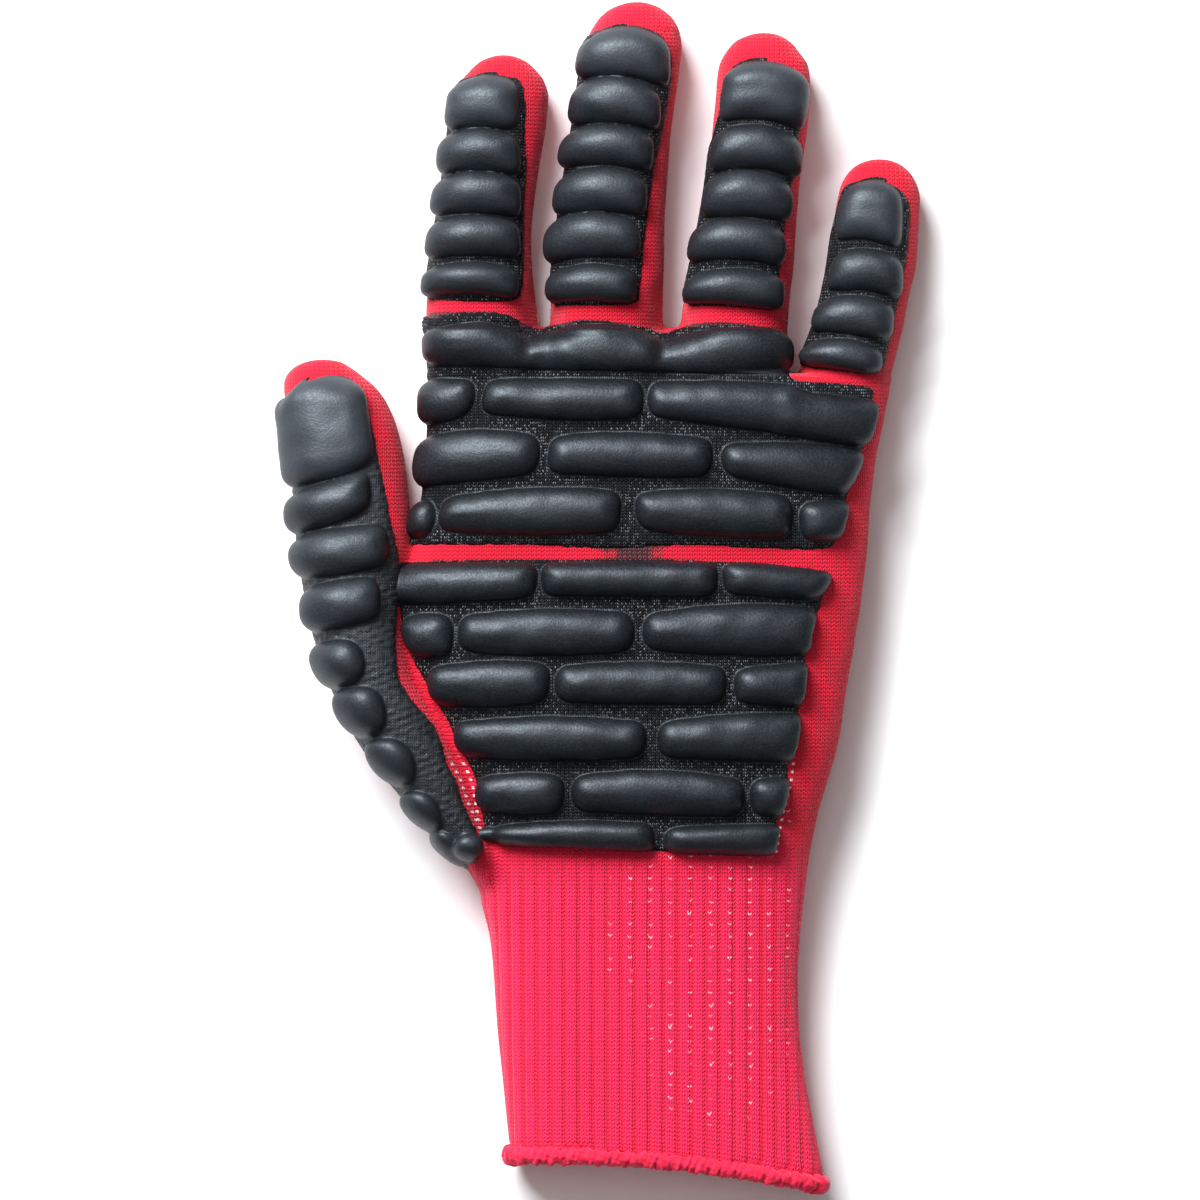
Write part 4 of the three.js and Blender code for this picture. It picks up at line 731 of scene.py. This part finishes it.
def make_panel(name, form, outline, cushions, step, tall=1.0, melt=0.6, coat=0.0, seed=1):
    """One rubber panel: a thin skin on the knit and the cushions that stand on it."""
    loop = loop_of(outline)
    low, high = loop[:, 1].min() - 1.5, loop[:, 1].max() + 1.5
    xs = [loop[:, 0].min(), loop[:, 0].max()]
    seat = Seat(form, low, high, xs[0] - 9, xs[1] + 5, step)
    y2, a2 = np.meshgrid(seat.ys, seat.across, indexing="ij")
    lengths = np.array([(seat.place(x, y), y) for x, y in loop])
    skirt = outline_distance(a2, y2, lengths)
    skirt = skirt + 0.13 * wobble(a2, y2, 3.2, seed) + 0.06 * wobble(a2, y2, 1.1, seed + 1)
    h = np.arange(-0.9, PAD * tall * 1.1 + 1.0, step * 0.92)
    h3 = h[None, None, :]
    inside, wrapped = np.full(a2.shape, -9.0), np.full(a2.shape, -9.0)
    pillows, last, limit = None, (1e9, 0), 99
    bumpy = 1 + 0.03 * wobble(a2, y2, 9, seed + 40)
    for k, (wraps, xtl, xbl, xtr, xbr, ytl, ytm, ytr, ybl, ybm, ybr) in enumerate(cushions):
        middle = (ytm + ybm) / 2
        deep, wide = (ytm - ybm) / 2, (xtr + xbr - xtl - xbl) / 4
        height = PAD * tall * min(1, (deep / 3.9) ** 0.6, (wide / 3.6) ** 0.5)
        ry, rx = min(deep, 5.6), min(wide, 5.2)
        slant = np.clip((ytm - y2) / (ytm - ybm), 0, 1)
        if wraps:
            start = seat.rim((xtl + xbl) / 2, middle, height, rx)
            left = seat.left[:, None] + start
            base = float(seat.left[seat.row(middle)] + start)
        else:
            top_left, base = seat.place(xtl, middle), seat.place(xbl, middle)
            left = top_left + (base - top_left) * slant
        top_right, right = seat.place(xtr, middle), seat.place(xbr, middle)
        right = top_right + (right - top_right) * slant
        corner = CORNER
        if coat and middle < -8:  # the small round ones follow the thumb's slanting side
            left = base + 0.5 * (left - base)
            right = (top_right + seat.place(xbr, middle)) / 2 + 0.6 * (left - base)
            corner = 2.7
        t = np.clip((a2 - left) / np.maximum(right - left, 1), 0, 1)
        top, bottom = along_edge(t, ytl, ytm, ytr), along_edge(t, ybl, ybm, ybr)
        if wraps and k == 0 and len(cushions) < 12:  # the tip's cushion ends lower on the side
            shoulder = ytl + 1.0 + 1.3 * np.clip(a2 - seat.left[:, None] - 6.4, 0, None)
            top, limit = np.minimum(top, shoulder), shoulder + 0.4 - y2
        wave = 0.1 * wobble(a2, y2, 7, seed + 10 + k)
        u = np.clip(1 - (np.minimum(a2 - left, right - a2) + wave) / rx, 0, None)
        w = np.clip(1 - (np.minimum(top - y2, y2 - bottom) + wave) / ry, 0, None)
        s = (u**corner + w**corner) ** (1 / corner)
        scale = min(rx, ry, 4.2)
        inside = np.maximum(inside, (1 - s) * scale)
        up = np.clip(h3 / (height * bumpy)[:, :, None], 0, None)
        pillow = ((s[:, :, None] ** FULL + up**FULL) ** (1 / FULL) - 1) * scale
        joined = abs(middle - last[0]) < 4 and xtl < last[1]
        pillows = pillow if pillows is None else blend_min(pillows, pillow, melt if joined else 0.25)
        last = (middle, xtr)
        if wraps:
            wrapped = np.maximum(wrapped, np.where(a2 < left + 8, (1 - s) * scale, -9))
    skirt = np.minimum(np.maximum(skirt, np.minimum(wrapped + 0.5, 0.8)), limit)
    top = SKIN * (0.35 + 0.65 * ease(0, 1.6, skirt)) + (0.05 + 0.1 * coat) * wobble(a2, y2, 1.6, seed + 3)
    slab = np.maximum(-skirt[:, :, None], h3 - top[:, :, None])
    field = blend_min(pillows, slab, 0.5)
    field = np.maximum(field, -h3 - 0.35)
    field = np.maximum(field, -(skirt[:, :, None] + 0.35))
    points, quads = skin_of(field, (seat.ys[0], seat.across[0], h[0]), (step, step, h[1] - h[0]))
    quads = quads[:, ::-1]
    yy, aa, hh = points.T
    x, z, nx, nz, d, s = seat.lookup(aa, yy, seat.x, seat.z, seat.nx, seat.nz, inside, skirt)
    long = np.hypot(nx, nz)
    world = np.stack([x + nx / long * hh, yy, z + nz / long * hh], 1)
    world[:, 2] = np.maximum(world[:, 2], 0.15)
    painted_tip_light = np.zeros(len(aa))
    if len(cushions) < 12:  # painted light: the fingers' cushions, and most of all their tips, are painted a little lighter where they face the light
        painted_tip_light = 0.16 + (0.24 + 0.2 * coat) * ease(-0.5, 1.5, yy - cushions[0][9])
    values = {
        "cushion": ease(-0.6, 0.0, d) * ease(0.55, 1.05, hh),
        "coat": np.full(len(aa), coat),
        # height over the knit, which the rubber's painted shade fades out with
        "rise": ease(0.3, 2.6, hh),
        "across": aa,
        "along": yy,
        "rim": s,
        "painted_tip_light": painted_tip_light,
    }
    obj = make_object(name, world, quads, values)
    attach(obj, "root")
    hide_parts(name)
    return obj

PANELS = [  # name, form, outline, cushions, grid step, height, how cushions melt together, coat
    ("pad_index", "index", EDGE_INDEX, CUSHIONS_INDEX, 0.42, 1.0, 0.5, 0.0),
    ("pad_middle", "middle", EDGE_MIDDLE, CUSHIONS_MIDDLE, 0.42, 1.0, 0.5, 0.0),
    ("pad_ring", "ring", EDGE_RING, CUSHIONS_RING, 0.42, 1.0, 0.5, 0.0),
    ("pad_little", "little", EDGE_LITTLE, CUSHIONS_LITTLE, 0.42, 0.95, 0.5, 0.0),
    ("pad_thumb", "thumb", EDGE_THUMB, CUSHIONS_THUMB, 0.45, 1.0, 0.5, 1.0),
    ("pad_palm_upper", "hand", EDGE_UPPER, CUSHIONS_UPPER, 0.52, 1.0, 1.6, 0.0),
    ("pad_palm_lower", "hand", EDGE_LOWER, CUSHIONS_LOWER, 0.52, 1.0, 0.5, 0.0),
]


# ------------------------------------------------------------------- the knit
def make_knit():
    step = np.array([1.14, 1.18, 1.02])
    low = np.array([-73.0, -131.5, -1.2])
    axes = [np.arange(l, h, s) for l, h, s in zip(low, (74.0, 135.0, 26.5), step)]
    x, y, z = np.meshgrid(*axes, indexing="ij")
    d = knit_distance(x, y, z)
    wall = WALL + 1.7 * ease(-104, -92, y)
    end = CUFF_END - 0.8 - level(x[:, :, :1], y[:, :, :1])
    shell = np.maximum(np.maximum(d, -(d + wall)), end)
    points, quads = skin_of(shell, low, step)
    for _ in range(2):
        px, py, pz = points.T
        d = knit_distance(px, py, pz)
        wall = WALL + 1.7 * ease(-104, -92, py)
        outer = np.abs(d) < np.abs(d + wall)
        miss = np.where(outer, d, d + wall)
        g = slope_of(knit_distance, px, py, pz)
        size = np.maximum((g * g).sum(1), 0.3)
        body = (level(px, py) > CUFF_END + 1.2) & (np.abs(miss) < 0.9)
        points -= np.where(body, np.clip(miss, -0.6, 0.6), 0)[:, None] * g / size[:, None]
    points[:, 2] = np.maximum(points[:, 2], 0.0)
    px, py, pz = points.T
    d, each = knit_distance(px, py, pz, parts=True)
    row = level(px, py)
    near = np.min(list(each.values()), 0)
    u = weight = 0
    for name, form in FORMS.items():
        w = np.exp(-np.clip(each[name] - near, 0, 30) / 1.1) * (each[name] < 8.9)
        at = np.clip(row if name == "hand" else py, form.low, form.high - 0.05)
        u = u + w * form.across(px, at, pz)
        weight = weight + w
    u = u / np.maximum(weight, 1e-9)
    ink = np.full(px.shape, -9.0)
    top = (pz > 5) & (d > -0.7)
    for _, _, outline, *_ in PANELS:
        loop = loop_of(outline)
        box = (px > loop[:, 0].min() - 6) & (px < loop[:, 0].max() + 6) & (py > loop[:, 1].min() - 6)
        mine = np.flatnonzero(top & box & (py < loop[:, 1].max() + 6))
        ink[mine] = np.maximum(ink[mine], outline_distance(px[mine], py[mine], loop))
    # a thin smear of rubber on the red gap between the two palm panels
    smear = 1 - np.hypot((px - 7.7) / 8.5, (py - 10.3) / 2.4)
    ink[top] = np.maximum(ink[top], 0.9 * smear[top] - 0.25)
    values = {
        "across": u,
        "along": row,
        "ink": ink,
        "cuff": ease(-50, -66, row),
        "elastic": elastic_of(px, py, pz),
        "edging": ease(7, 5, np.abs(px - 39)) * ease(11, 10, np.abs(py + 45.5)) * (pz > 8)
        + ease(6, 4.5, np.abs(px + 29.5)) * ease(8.5, 7.5, np.abs(py + 42.5)) * (pz > 8),
    }
    obj = make_object("glove_knit", points, quads, values)
    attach(obj, "root")
    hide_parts("knit_liner")
    return obj


def elastic_of(x, y, z):
    """Where the white elastic yarn shows between the stitches."""
    patches = [  # x, y, half width, half height
        (22, -72, 24, 20),
        (38, -46, 4, 14),
        (26, -98, 16, 18),
    ]
    out = np.zeros_like(x)
    for cx, cy, w, h in patches:
        r = np.hypot((x - cx) / w, (y - cy) / h)
        out = np.maximum(out, 1 - ease(0.7, 1.15, r))
    return out * (z > 6)


# -------------------------------------------------------------- the rolled hem
def make_hem():
    end = HAND[-1]
    radius = HEM / 2
    xl, xr, zt, zb = end[1] + 0.6, end[2] - 0.6, end[3] - 0.8, radius
    mid = zb + 0.42 * (zt - zb)

    def middle(turn):
        c, s = np.cos(turn), np.sin(turn)
        n = np.where(s >= 0, BODY[0], BODY[1])
        rise = np.where(s >= 0, zt - mid, mid - zb + FLOOR_DROP)
        x = (xl + xr) / 2 + (xr - xl) / 2 * np.sign(c) * np.abs(c) ** (2 / n)
        z = np.maximum(mid + rise * np.sign(s) * np.abs(s) ** (2 / n), zb)
        t = np.clip((x - end[1]) / (end[2] - end[1]), 0, 1)
        y = end[0] - end[5] * t + end[6] * 4 * t * (1 - t) - radius - 0.5
        return np.stack([x, y, z], -1)

    fine = middle(np.linspace(0, 2 * np.pi, 3001))
    run = np.concatenate([[0], np.cumsum(np.linalg.norm(np.diff(fine, axis=0), axis=1))])
    length = run[-1]
    count = int(length / 0.32)
    at = np.linspace(0, length, count, endpoint=False)
    route = np.stack([np.interp(at, run, fine[:, k]) for k in range(3)], -1)
    for _ in range(12):
        route = (np.roll(route, 1, 0) + 2 * route + np.roll(route, -1, 0)) / 4
    along = np.roll(route, -1, 0) - np.roll(route, 1, 0)
    along /= np.linalg.norm(along, axis=1)[:, None]
    side = np.cross((0, 1, 0), along)
    side /= np.linalg.norm(side, axis=1)[:, None]
    up = np.cross(along, side)
    sides = 36
    turn = np.linspace(0, 2 * np.pi, sides, endpoint=False)
    a, t = np.meshgrid(at, turn, indexing="ij")
    loops = round(length / 1.7)
    drift = 0.3 * wobble(a, 1.9 * np.cos(t), 2.2, 70) * ease(0, 3, np.minimum(a, length - a))
    thread = np.abs(np.cos(np.pi * (a / length * loops + drift + 2 * t / (2 * np.pi)))) ** 0.7
    rough = wobble(a, 1.9 * np.cos(t), 2.6, 71) + wobble(a, 1.9 * np.sin(t), 1.7, 72)
    blend = np.minimum(a, length - a)
    r = radius - 0.3 + 0.26 * thread + 0.24 * rough * ease(0, 3, blend)
    ends = np.exp(-(((route[:, 0] - xl) / 2.5) ** 2)) + np.exp(-(((route[:, 0] - xr) / 2.5) ** 2))
    r = r + 0.3 * ends[:, None]
    points = route[:, None] + side[:, None] * (r * np.cos(t))[..., None] + up[:, None] * (r * np.sin(t))[..., None]
    points[..., 2] = np.maximum(points[..., 2], 0.05)
    i, j = np.meshgrid(np.arange(count), np.arange(sides), indexing="ij")
    i1, j1 = (i + 1) % count, (j + 1) % sides
    quads = np.stack([i * sides + j, i1 * sides + j, i1 * sides + j1, i * sides + j1], -1).reshape(-1, 4)
    centre = points[0].mean(0)
    p = points.reshape(-1, 3)
    normal = np.cross(p[quads[0, 1]] - p[quads[0, 0]], p[quads[0, 2]] - p[quads[0, 0]])
    if np.dot(normal, p[quads[0, 0]] - centre) < 0:
        quads = quads[:, ::-1]
    values = {"run": a.ravel(), "turn": (t * 1.9).ravel(), "thread": thread.ravel()}
    obj = make_object("rolled_hem", p, quads, values)
    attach(obj, "root")
    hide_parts("cuff_hem")
    return obj


# ---------------------------------------------------------------- materials
class Paint:
    """A node material, with short names for the nodes that it needs."""

    def __init__(self, name):
        self.material = bpy.data.materials.new(name)
        self.material.use_nodes = True
        self.tree = self.material.node_tree
        self.shader = self.tree.nodes["Principled BSDF"]

    def put(self, socket, value):
        if isinstance(value, bpy.types.NodeSocket):
            self.tree.links.new(value, socket)
        elif hasattr(value, "__len__"):
            socket.default_value = (*value, 1.0)[:4] if len(socket.default_value) == 4 else value
        else:
            socket.default_value = value

    def math(self, kind, a, b=0.0, c=0.0, clamp=False):
        node = self.tree.nodes.new("ShaderNodeMath")
        node.operation, node.use_clamp = kind, clamp
        for socket, value in zip(node.inputs, (a, b, c)):
            self.put(socket, value)
        return node.outputs[0]

    def add(self, a, b):
        return self.math("ADD", a, b)

    def sub(self, a, b):
        return self.math("SUBTRACT", a, b)

    def mul(self, a, b):
        return self.math("MULTIPLY", a, b)

    def ramp(self, low, high, value, out=(0.0, 1.0)):
        node = self.tree.nodes.new("ShaderNodeMapRange")
        node.interpolation_type = "SMOOTHSTEP"
        for key, v in (("Value", value), ("From Min", low), ("From Max", high), ("To Min", out[0]), ("To Max", out[1])):
            self.put(node.inputs[key], v)
        return node.outputs[0]

    def value(self, name):
        node = self.tree.nodes.new("ShaderNodeAttribute")
        node.attribute_name = name
        return node.outputs["Fac"]

    def place(self):
        node = self.tree.nodes.new("ShaderNodeTexCoord")
        return node.outputs["Object"]

    def noise(self, size, detail=2.0, rough=0.5, vector=None):
        """Noise with bumps about size mm across."""
        node = self.tree.nodes.new("ShaderNodeTexNoise")
        self.put(node.inputs["Vector"], vector if vector is not None else self.place())
        node.inputs["Scale"].default_value = 1000 / size if vector is None else 1 / size
        node.inputs["Detail"].default_value = detail
        node.inputs["Roughness"].default_value = rough
        return node.outputs[0]

    def mix(self, amount, a, b):
        node = self.tree.nodes.new("ShaderNodeMix")
        node.data_type = "RGBA"
        self.put(node.inputs[0], amount)
        self.put(node.inputs[6], a)
        self.put(node.inputs[7], b)
        return node.outputs[2]

    def bump(self, height, depth, strength=1.0, normal=None):
        node = self.tree.nodes.new("ShaderNodeBump")
        self.put(node.inputs["Height"], height)
        node.inputs["Distance"].default_value = depth * 0.001
        node.inputs["Strength"].default_value = strength
        if normal is not None:
            self.put(node.inputs["Normal"], normal)
        return node.outputs[0]

    def finish(self, **sockets):
        for key, value in sockets.items():
            self.put(self.shader.inputs[key.replace("_", " ")], value)
        return self.material


WALE, COURSE = 1.1, 0.86  # one stitch's width and height


def stitches(p, u, v, wale=WALE, course=COURSE):
    """Height of the knit's V-shaped stitches, 0 between them to 1 on the yarn, and one
    number of its own for each stitch."""
    sway = p.mul(p.sub(p.noise(3.0, 1.0), 0.5), 0.5)
    column = p.add(p.math("DIVIDE", u, wale), sway)
    side = p.sub(p.math("FRACT", column), 0.5)
    out = p.math("ABSOLUTE", side)
    step = p.sub(p.math("DIVIDE", v, course), p.mul(out, 1.1))
    leg = p.math("SINE", p.mul(p.math("FRACT", step), 3.14159))
    across = p.math("SINE", p.mul(out, 6.28318))
    cell = p.tree.nodes.new("ShaderNodeCombineXYZ")
    p.put(cell.inputs[0], p.math("FLOOR", p.mul(column, 2.0)))
    p.put(cell.inputs[1], p.math("FLOOR", step))
    chance = p.tree.nodes.new("ShaderNodeTexWhiteNoise")
    chance.noise_dimensions = "2D"
    p.put(chance.inputs["Vector"], cell.outputs[0])
    return p.mul(p.math("POWER", leg, 0.8), p.add(0.3, p.mul(across, 0.7))), chance.outputs["Value"]


def red_knit():
    p = Paint("red knit")
    u, v = p.value("across"), p.value("along")
    knit, chance = stitches(p, u, v)
    cuff = p.value("cuff")
    rib = p.add(0.5, p.mul(p.math("COSINE", p.mul(u, 6.28318 / 3.1)), 0.5))
    rib = p.mul(p.ramp(0.45, 1.0, p.sub(1.0, rib)), cuff)
    broad, fine = p.noise(26, 2.0), p.noise(0.9, 2.0, 0.6)
    red = p.mix(p.ramp(0.35, 0.65, broad), (0.64, 0.004, 0.026), (0.74, 0.007, 0.038))
    red = p.mix(p.mul(cuff, 0.8), red, (0.95, 0.024, 0.115))
    deep = p.mix(cuff, (0.4, 0.0015, 0.01), (0.72, 0.006, 0.038))
    # painted shade: the knit is painted darker (deep) between its stitches and in the cuff's rib valleys, and lighter
    # (red) on the yarn
    lit = p.math("MULTIPLY", p.add(0.25, p.mul(knit, 0.85)), p.sub(1.0, p.mul(rib, 0.7)), clamp=True)
    lit = p.math("ADD", lit, p.mul(p.sub(fine, 0.5), 0.35), clamp=True)
    colour = p.mix(lit, deep, red)
    # white elastic yarn between the stitches
    eu = p.add(p.math("DIVIDE", u, 4.4), p.mul(p.sub(p.noise(4.5, 1.0), 0.5), 0.3))
    ev = p.add(p.math("DIVIDE", v, 2.5), p.mul(p.sub(p.noise(3.4, 1.0), 0.5), 0.9))
    du = p.mul(p.sub(p.math("FRACT", eu), 0.5), 4.4)
    dv = p.mul(p.sub(p.math("FRACT", ev), 0.5), 2.5)
    cell = p.tree.nodes.new("ShaderNodeCombineXYZ")
    p.put(cell.inputs[0], p.math("FLOOR", eu))
    p.put(cell.inputs[1], p.math("FLOOR", ev))
    luck = p.tree.nodes.new("ShaderNodeTexWhiteNoise")
    luck.noise_dimensions = "2D"
    p.put(luck.inputs["Vector"], cell.outputs[0])
    out = p.math("ABSOLUTE", du)
    leg = p.math("ABSOLUTE", p.sub(dv, p.mul(out, 0.8)))
    there = p.ramp(0.35, 0.75, p.add(p.mul(p.value("elastic"), 0.75), p.mul(p.noise(5.0, 1.0), 0.5)))
    white = p.mul(p.mul(p.ramp(0.26, 0.06, leg), p.ramp(0.55, 0.3, out)), there)
    white = p.mul(white, p.ramp(0.1, 0.9, luck.outputs["Value"], (0.05, 0.85)))
    colour = p.mix(white, colour, (0.94, 0.5, 0.57))
    # and its stitches in one column beside the panels' lower edges
    beat = p.math("ABSOLUTE", p.mul(p.sub(p.math("FRACT", p.math("DIVIDE", v, 1.75)), 0.5), 1.75))
    column = p.math("ABSOLUTE", p.add(p.value("ink"), 1.0))
    white = p.mul(p.mul(p.ramp(0.36, 0.16, column), p.ramp(0.38, 0.18, beat)), p.value("edging"))
    colour = p.mix(white, colour, (0.95, 0.72, 0.76))
    # rubber smeared on the knit along the panels
    ragged = p.add(p.mul(p.sub(p.noise(1.4, 3.0, 0.6), 0.5), 0.7), p.mul(p.sub(p.noise(6.0, 1.0), 0.5), 0.5))
    ink = p.ramp(-0.3, 0.1, p.sub(p.add(p.value("ink"), ragged), p.mul(knit, 0.25)))
    colour = p.mix(p.mul(ink, 0.93), colour, (0.012, 0.012, 0.014))
    height = p.add(p.add(p.mul(knit, 0.24), p.mul(rib, -0.3)), p.mul(fine, 0.12))
    normal = p.bump(height, 1.0, 0.9)
    rough = p.sub(0.8, p.mul(ink, 0.3))
    return p.finish(
        Base_Color=colour,
        Roughness=rough,
        Normal=normal,
        Sheen_Weight=0.25,
        Sheen_Roughness=0.4,
        Sheen_Tint=(1.0, 0.45, 0.5),
        Specular_IOR_Level=0.3,
    )


def red_hem():
    p = Paint("red overlock thread")
    strand = p.noise(0.55, 3.0, 0.65)
    thread = p.value("thread")
    # painted shade: the thread is painted darker between its loops and lighter on them
    lit = p.math("ADD", p.mul(thread, 0.65), p.mul(strand, 0.5), clamp=True)
    colour = p.mix(lit, (0.36, 0.001, 0.01), (0.86, 0.02, 0.075))
    height = p.add(p.mul(strand, 0.5), p.mul(p.noise(1.3, 2.0), 0.5))
    return p.finish(
        Base_Color=colour,
        Roughness=0.85,
        Normal=p.bump(height, 0.55, 1.0),
        Sheen_Weight=0.4,
        Sheen_Roughness=0.4,
        Sheen_Tint=(1.0, 0.45, 0.55),
        Specular_IOR_Level=0.25,
    )


def black_rubber(title, shine):
    p = Paint(title)
    soft = p.value("cushion")
    u, v = p.value("across"), p.value("along")
    knit, chance = stitches(p, u, v, 0.9, 0.66)
    grain, broad, pores = p.noise(0.5, 3.0, 0.6), p.noise(9, 2.0), p.noise(1.7, 2.0)
    skin = p.mix(p.ramp(0.3, 0.7, broad), (0.0042, 0.0055, 0.0074), (0.0068, 0.0086, 0.0112))
    skin = p.mix(p.ramp(0.4, 0.75, grain), skin, (0.011, 0.0132, 0.0165))
    # painted light: the fingers' cushions, their tips most, are painted lighter where they face the light
    skin = p.mix(p.mul(p.value("painted_tip_light"), p.ramp(0.25, 0.6, broad, (0.6, 1.0))), skin, (0.042, 0.048, 0.058))
    # between the cushions the rubber has soaked into the knit; it is painted darker between the stitches as shade, and
    # painted glints, light specks on its yarn, stand in for highlights
    coat = p.value("coat")
    soaked = p.mix(knit, (0.002, 0.002, 0.0025), (0.019, 0.02, 0.023))
    glint = p.mul(p.ramp(0.52, 1.0, chance), p.ramp(0.6, 0.85, knit))
    glint = p.mul(glint, p.ramp(0.35, 0.6, broad, (0.15, 1.0)))
    glint = p.mul(glint, p.sub(1.0, p.mul(coat, 0.85)))
    soaked = p.mix(glint, soaked, (0.52, 0.55, 0.6))
    soaked = p.mix(p.mul(coat, p.ramp(0.35, 0.65, pores)), soaked, (0.02, 0.022, 0.026))
    colour = p.mix(soft, soaked, skin)
    # painted shade: the rubber is mixed towards black low down, at the cushions' feet and in the gaps between them,
    # less on the thumb
    rise = p.math("MAXIMUM", p.mul(p.value("rise"), soft), p.mul(coat, 0.5))
    colour = p.mix(p.mul(p.sub(1.0, rise), 0.55), colour, (0.0, 0.0, 0.0))
    rough_gap = p.ramp(0.3, 0.7, pores, (0.5, 0.74))
    rough_skin = p.ramp(0.3, 0.7, grain, (0.39, 0.52))
    blend = p.tree.nodes.new("ShaderNodeMix")
    blend.data_type = "FLOAT"
    p.put(blend.inputs[0], soft)
    p.put(blend.inputs[2], rough_gap)
    p.put(blend.inputs[3], rough_skin)
    bare = p.sub(1.0, soft)
    height = p.add(p.mul(p.add(p.mul(grain, 0.09), p.mul(pores, 0.06)), soft), p.mul(p.add(p.mul(p.mul(knit, p.sub(1.0, p.mul(coat, 0.7))), 0.3), p.mul(p.noise(1.0, 2.0), 0.3)), bare))
    return p.finish(
        Base_Color=colour,
        Roughness=blend.outputs[0],
        Normal=p.bump(height, 0.8, 1.0),
        Specular_IOR_Level=shine,
        Specular_Tint=(0.84, 0.92, 1.0),
    )


# -------------------------------------------------------------------- the glove
knit = make_knit()
knit.data.materials.append(red_knit())
hem = make_hem()
hem.data.materials.append(red_hem())
rubber = black_rubber("black foam rubber", 0.45)
soaked = black_rubber("rubber-soaked knit", 0.2)


def between(mesh):
    """Gives the faces between the cushions the mesh's second material."""
    soft = np.zeros(len(mesh.vertices))
    mesh.attributes["cushion"].data.foreach_get("value", soft)
    corners = np.zeros(len(mesh.loops), dtype=np.int32)
    mesh.loops.foreach_get("vertex_index", corners)
    starts = np.zeros(len(mesh.polygons), dtype=np.int32)
    mesh.polygons.foreach_get("loop_start", starts)
    counts = np.diff(np.append(starts, len(corners)))
    share = np.add.reduceat(soft[corners], starts) / counts
    mesh.polygons.foreach_set("material_index", (share < 0.5).astype(np.int32))


for k, (name, form, outline, cushions, step, tall, melt, coat) in enumerate(PANELS):
    panel = make_panel(name, FORMS[form], outline, cushions, step, tall, melt, coat, seed=100 * (k + 1))
    panel.data.materials.append(rubber)
    if not coat:
        panel.data.materials.append(soaked)
        between(panel.data)

# -------------------------------------------------------------------- the stage
scene = bpy.context.scene
scene.view_settings.view_transform = "Standard"


def plain(name, colour):
    p = Paint(name)
    return p.finish(Base_Color=colour, Roughness=0.9, Specular_IOR_Level=0.1)


mesh = bpy.data.meshes.new("floor")
mesh.from_pydata([(-3, -3, 0), (3, -3, 0), (3, 3, 0), (-3, 3, 0)], [], [(0, 1, 2, 3)])
floor = bpy.data.objects.new("floor", mesh)
floor.location.z = -0.0002
floor.data.materials.append(plain("pale floor", (0.9, 0.9, 0.9)))
scene.collection.objects.link(floor)


def lamp(name, place, aim, size, power, colour=(1, 1, 1)):
    light = bpy.data.lights.new(name, "AREA")
    light.shape, light.size, light.size_y = "RECTANGLE", size[0], size[1]
    light.energy, light.color = power, colour
    obj = bpy.data.objects.new(name, light)
    obj.location = place
    obj.rotation_mode = "QUATERNION"
    obj.rotation_quaternion = (Vector(aim) - Vector(place)).to_track_quat("-Z", "Y")
    scene.collection.objects.link(obj)
    return obj


lamp("window", (-0.6, 1.0, 1.0), (0, 0, 0), (0.85, 0.6), 58, (0.95, 0.975, 1.0))
lamp("ceiling", (0, 0.2, 1.8), (0, 0, 0), (1.2, 1.2), 5)

world = bpy.data.worlds.new("studio")
world.use_nodes = True
world.node_tree.nodes["Background"].inputs[0].default_value = (1, 1, 1, 1)
world.node_tree.nodes["Background"].inputs[1].default_value = 0.18
scene.world = world

REACH = 1.6  # camera's height over the glove's middle
camera = bpy.data.cameras.new("camera")
camera.sensor_width = 36
camera.lens = 36 * REACH / 0.264
seat = bpy.data.objects.new("camera", camera)
seat.location = (-ORIGIN[0] * 0.001, -ORIGIN[1] * 0.001, REACH + 0.011)
camera.clip_start, camera.clip_end = 0.05, 20
scene.collection.objects.link(seat)
scene.camera = seat

bpy.context.view_layer.update()
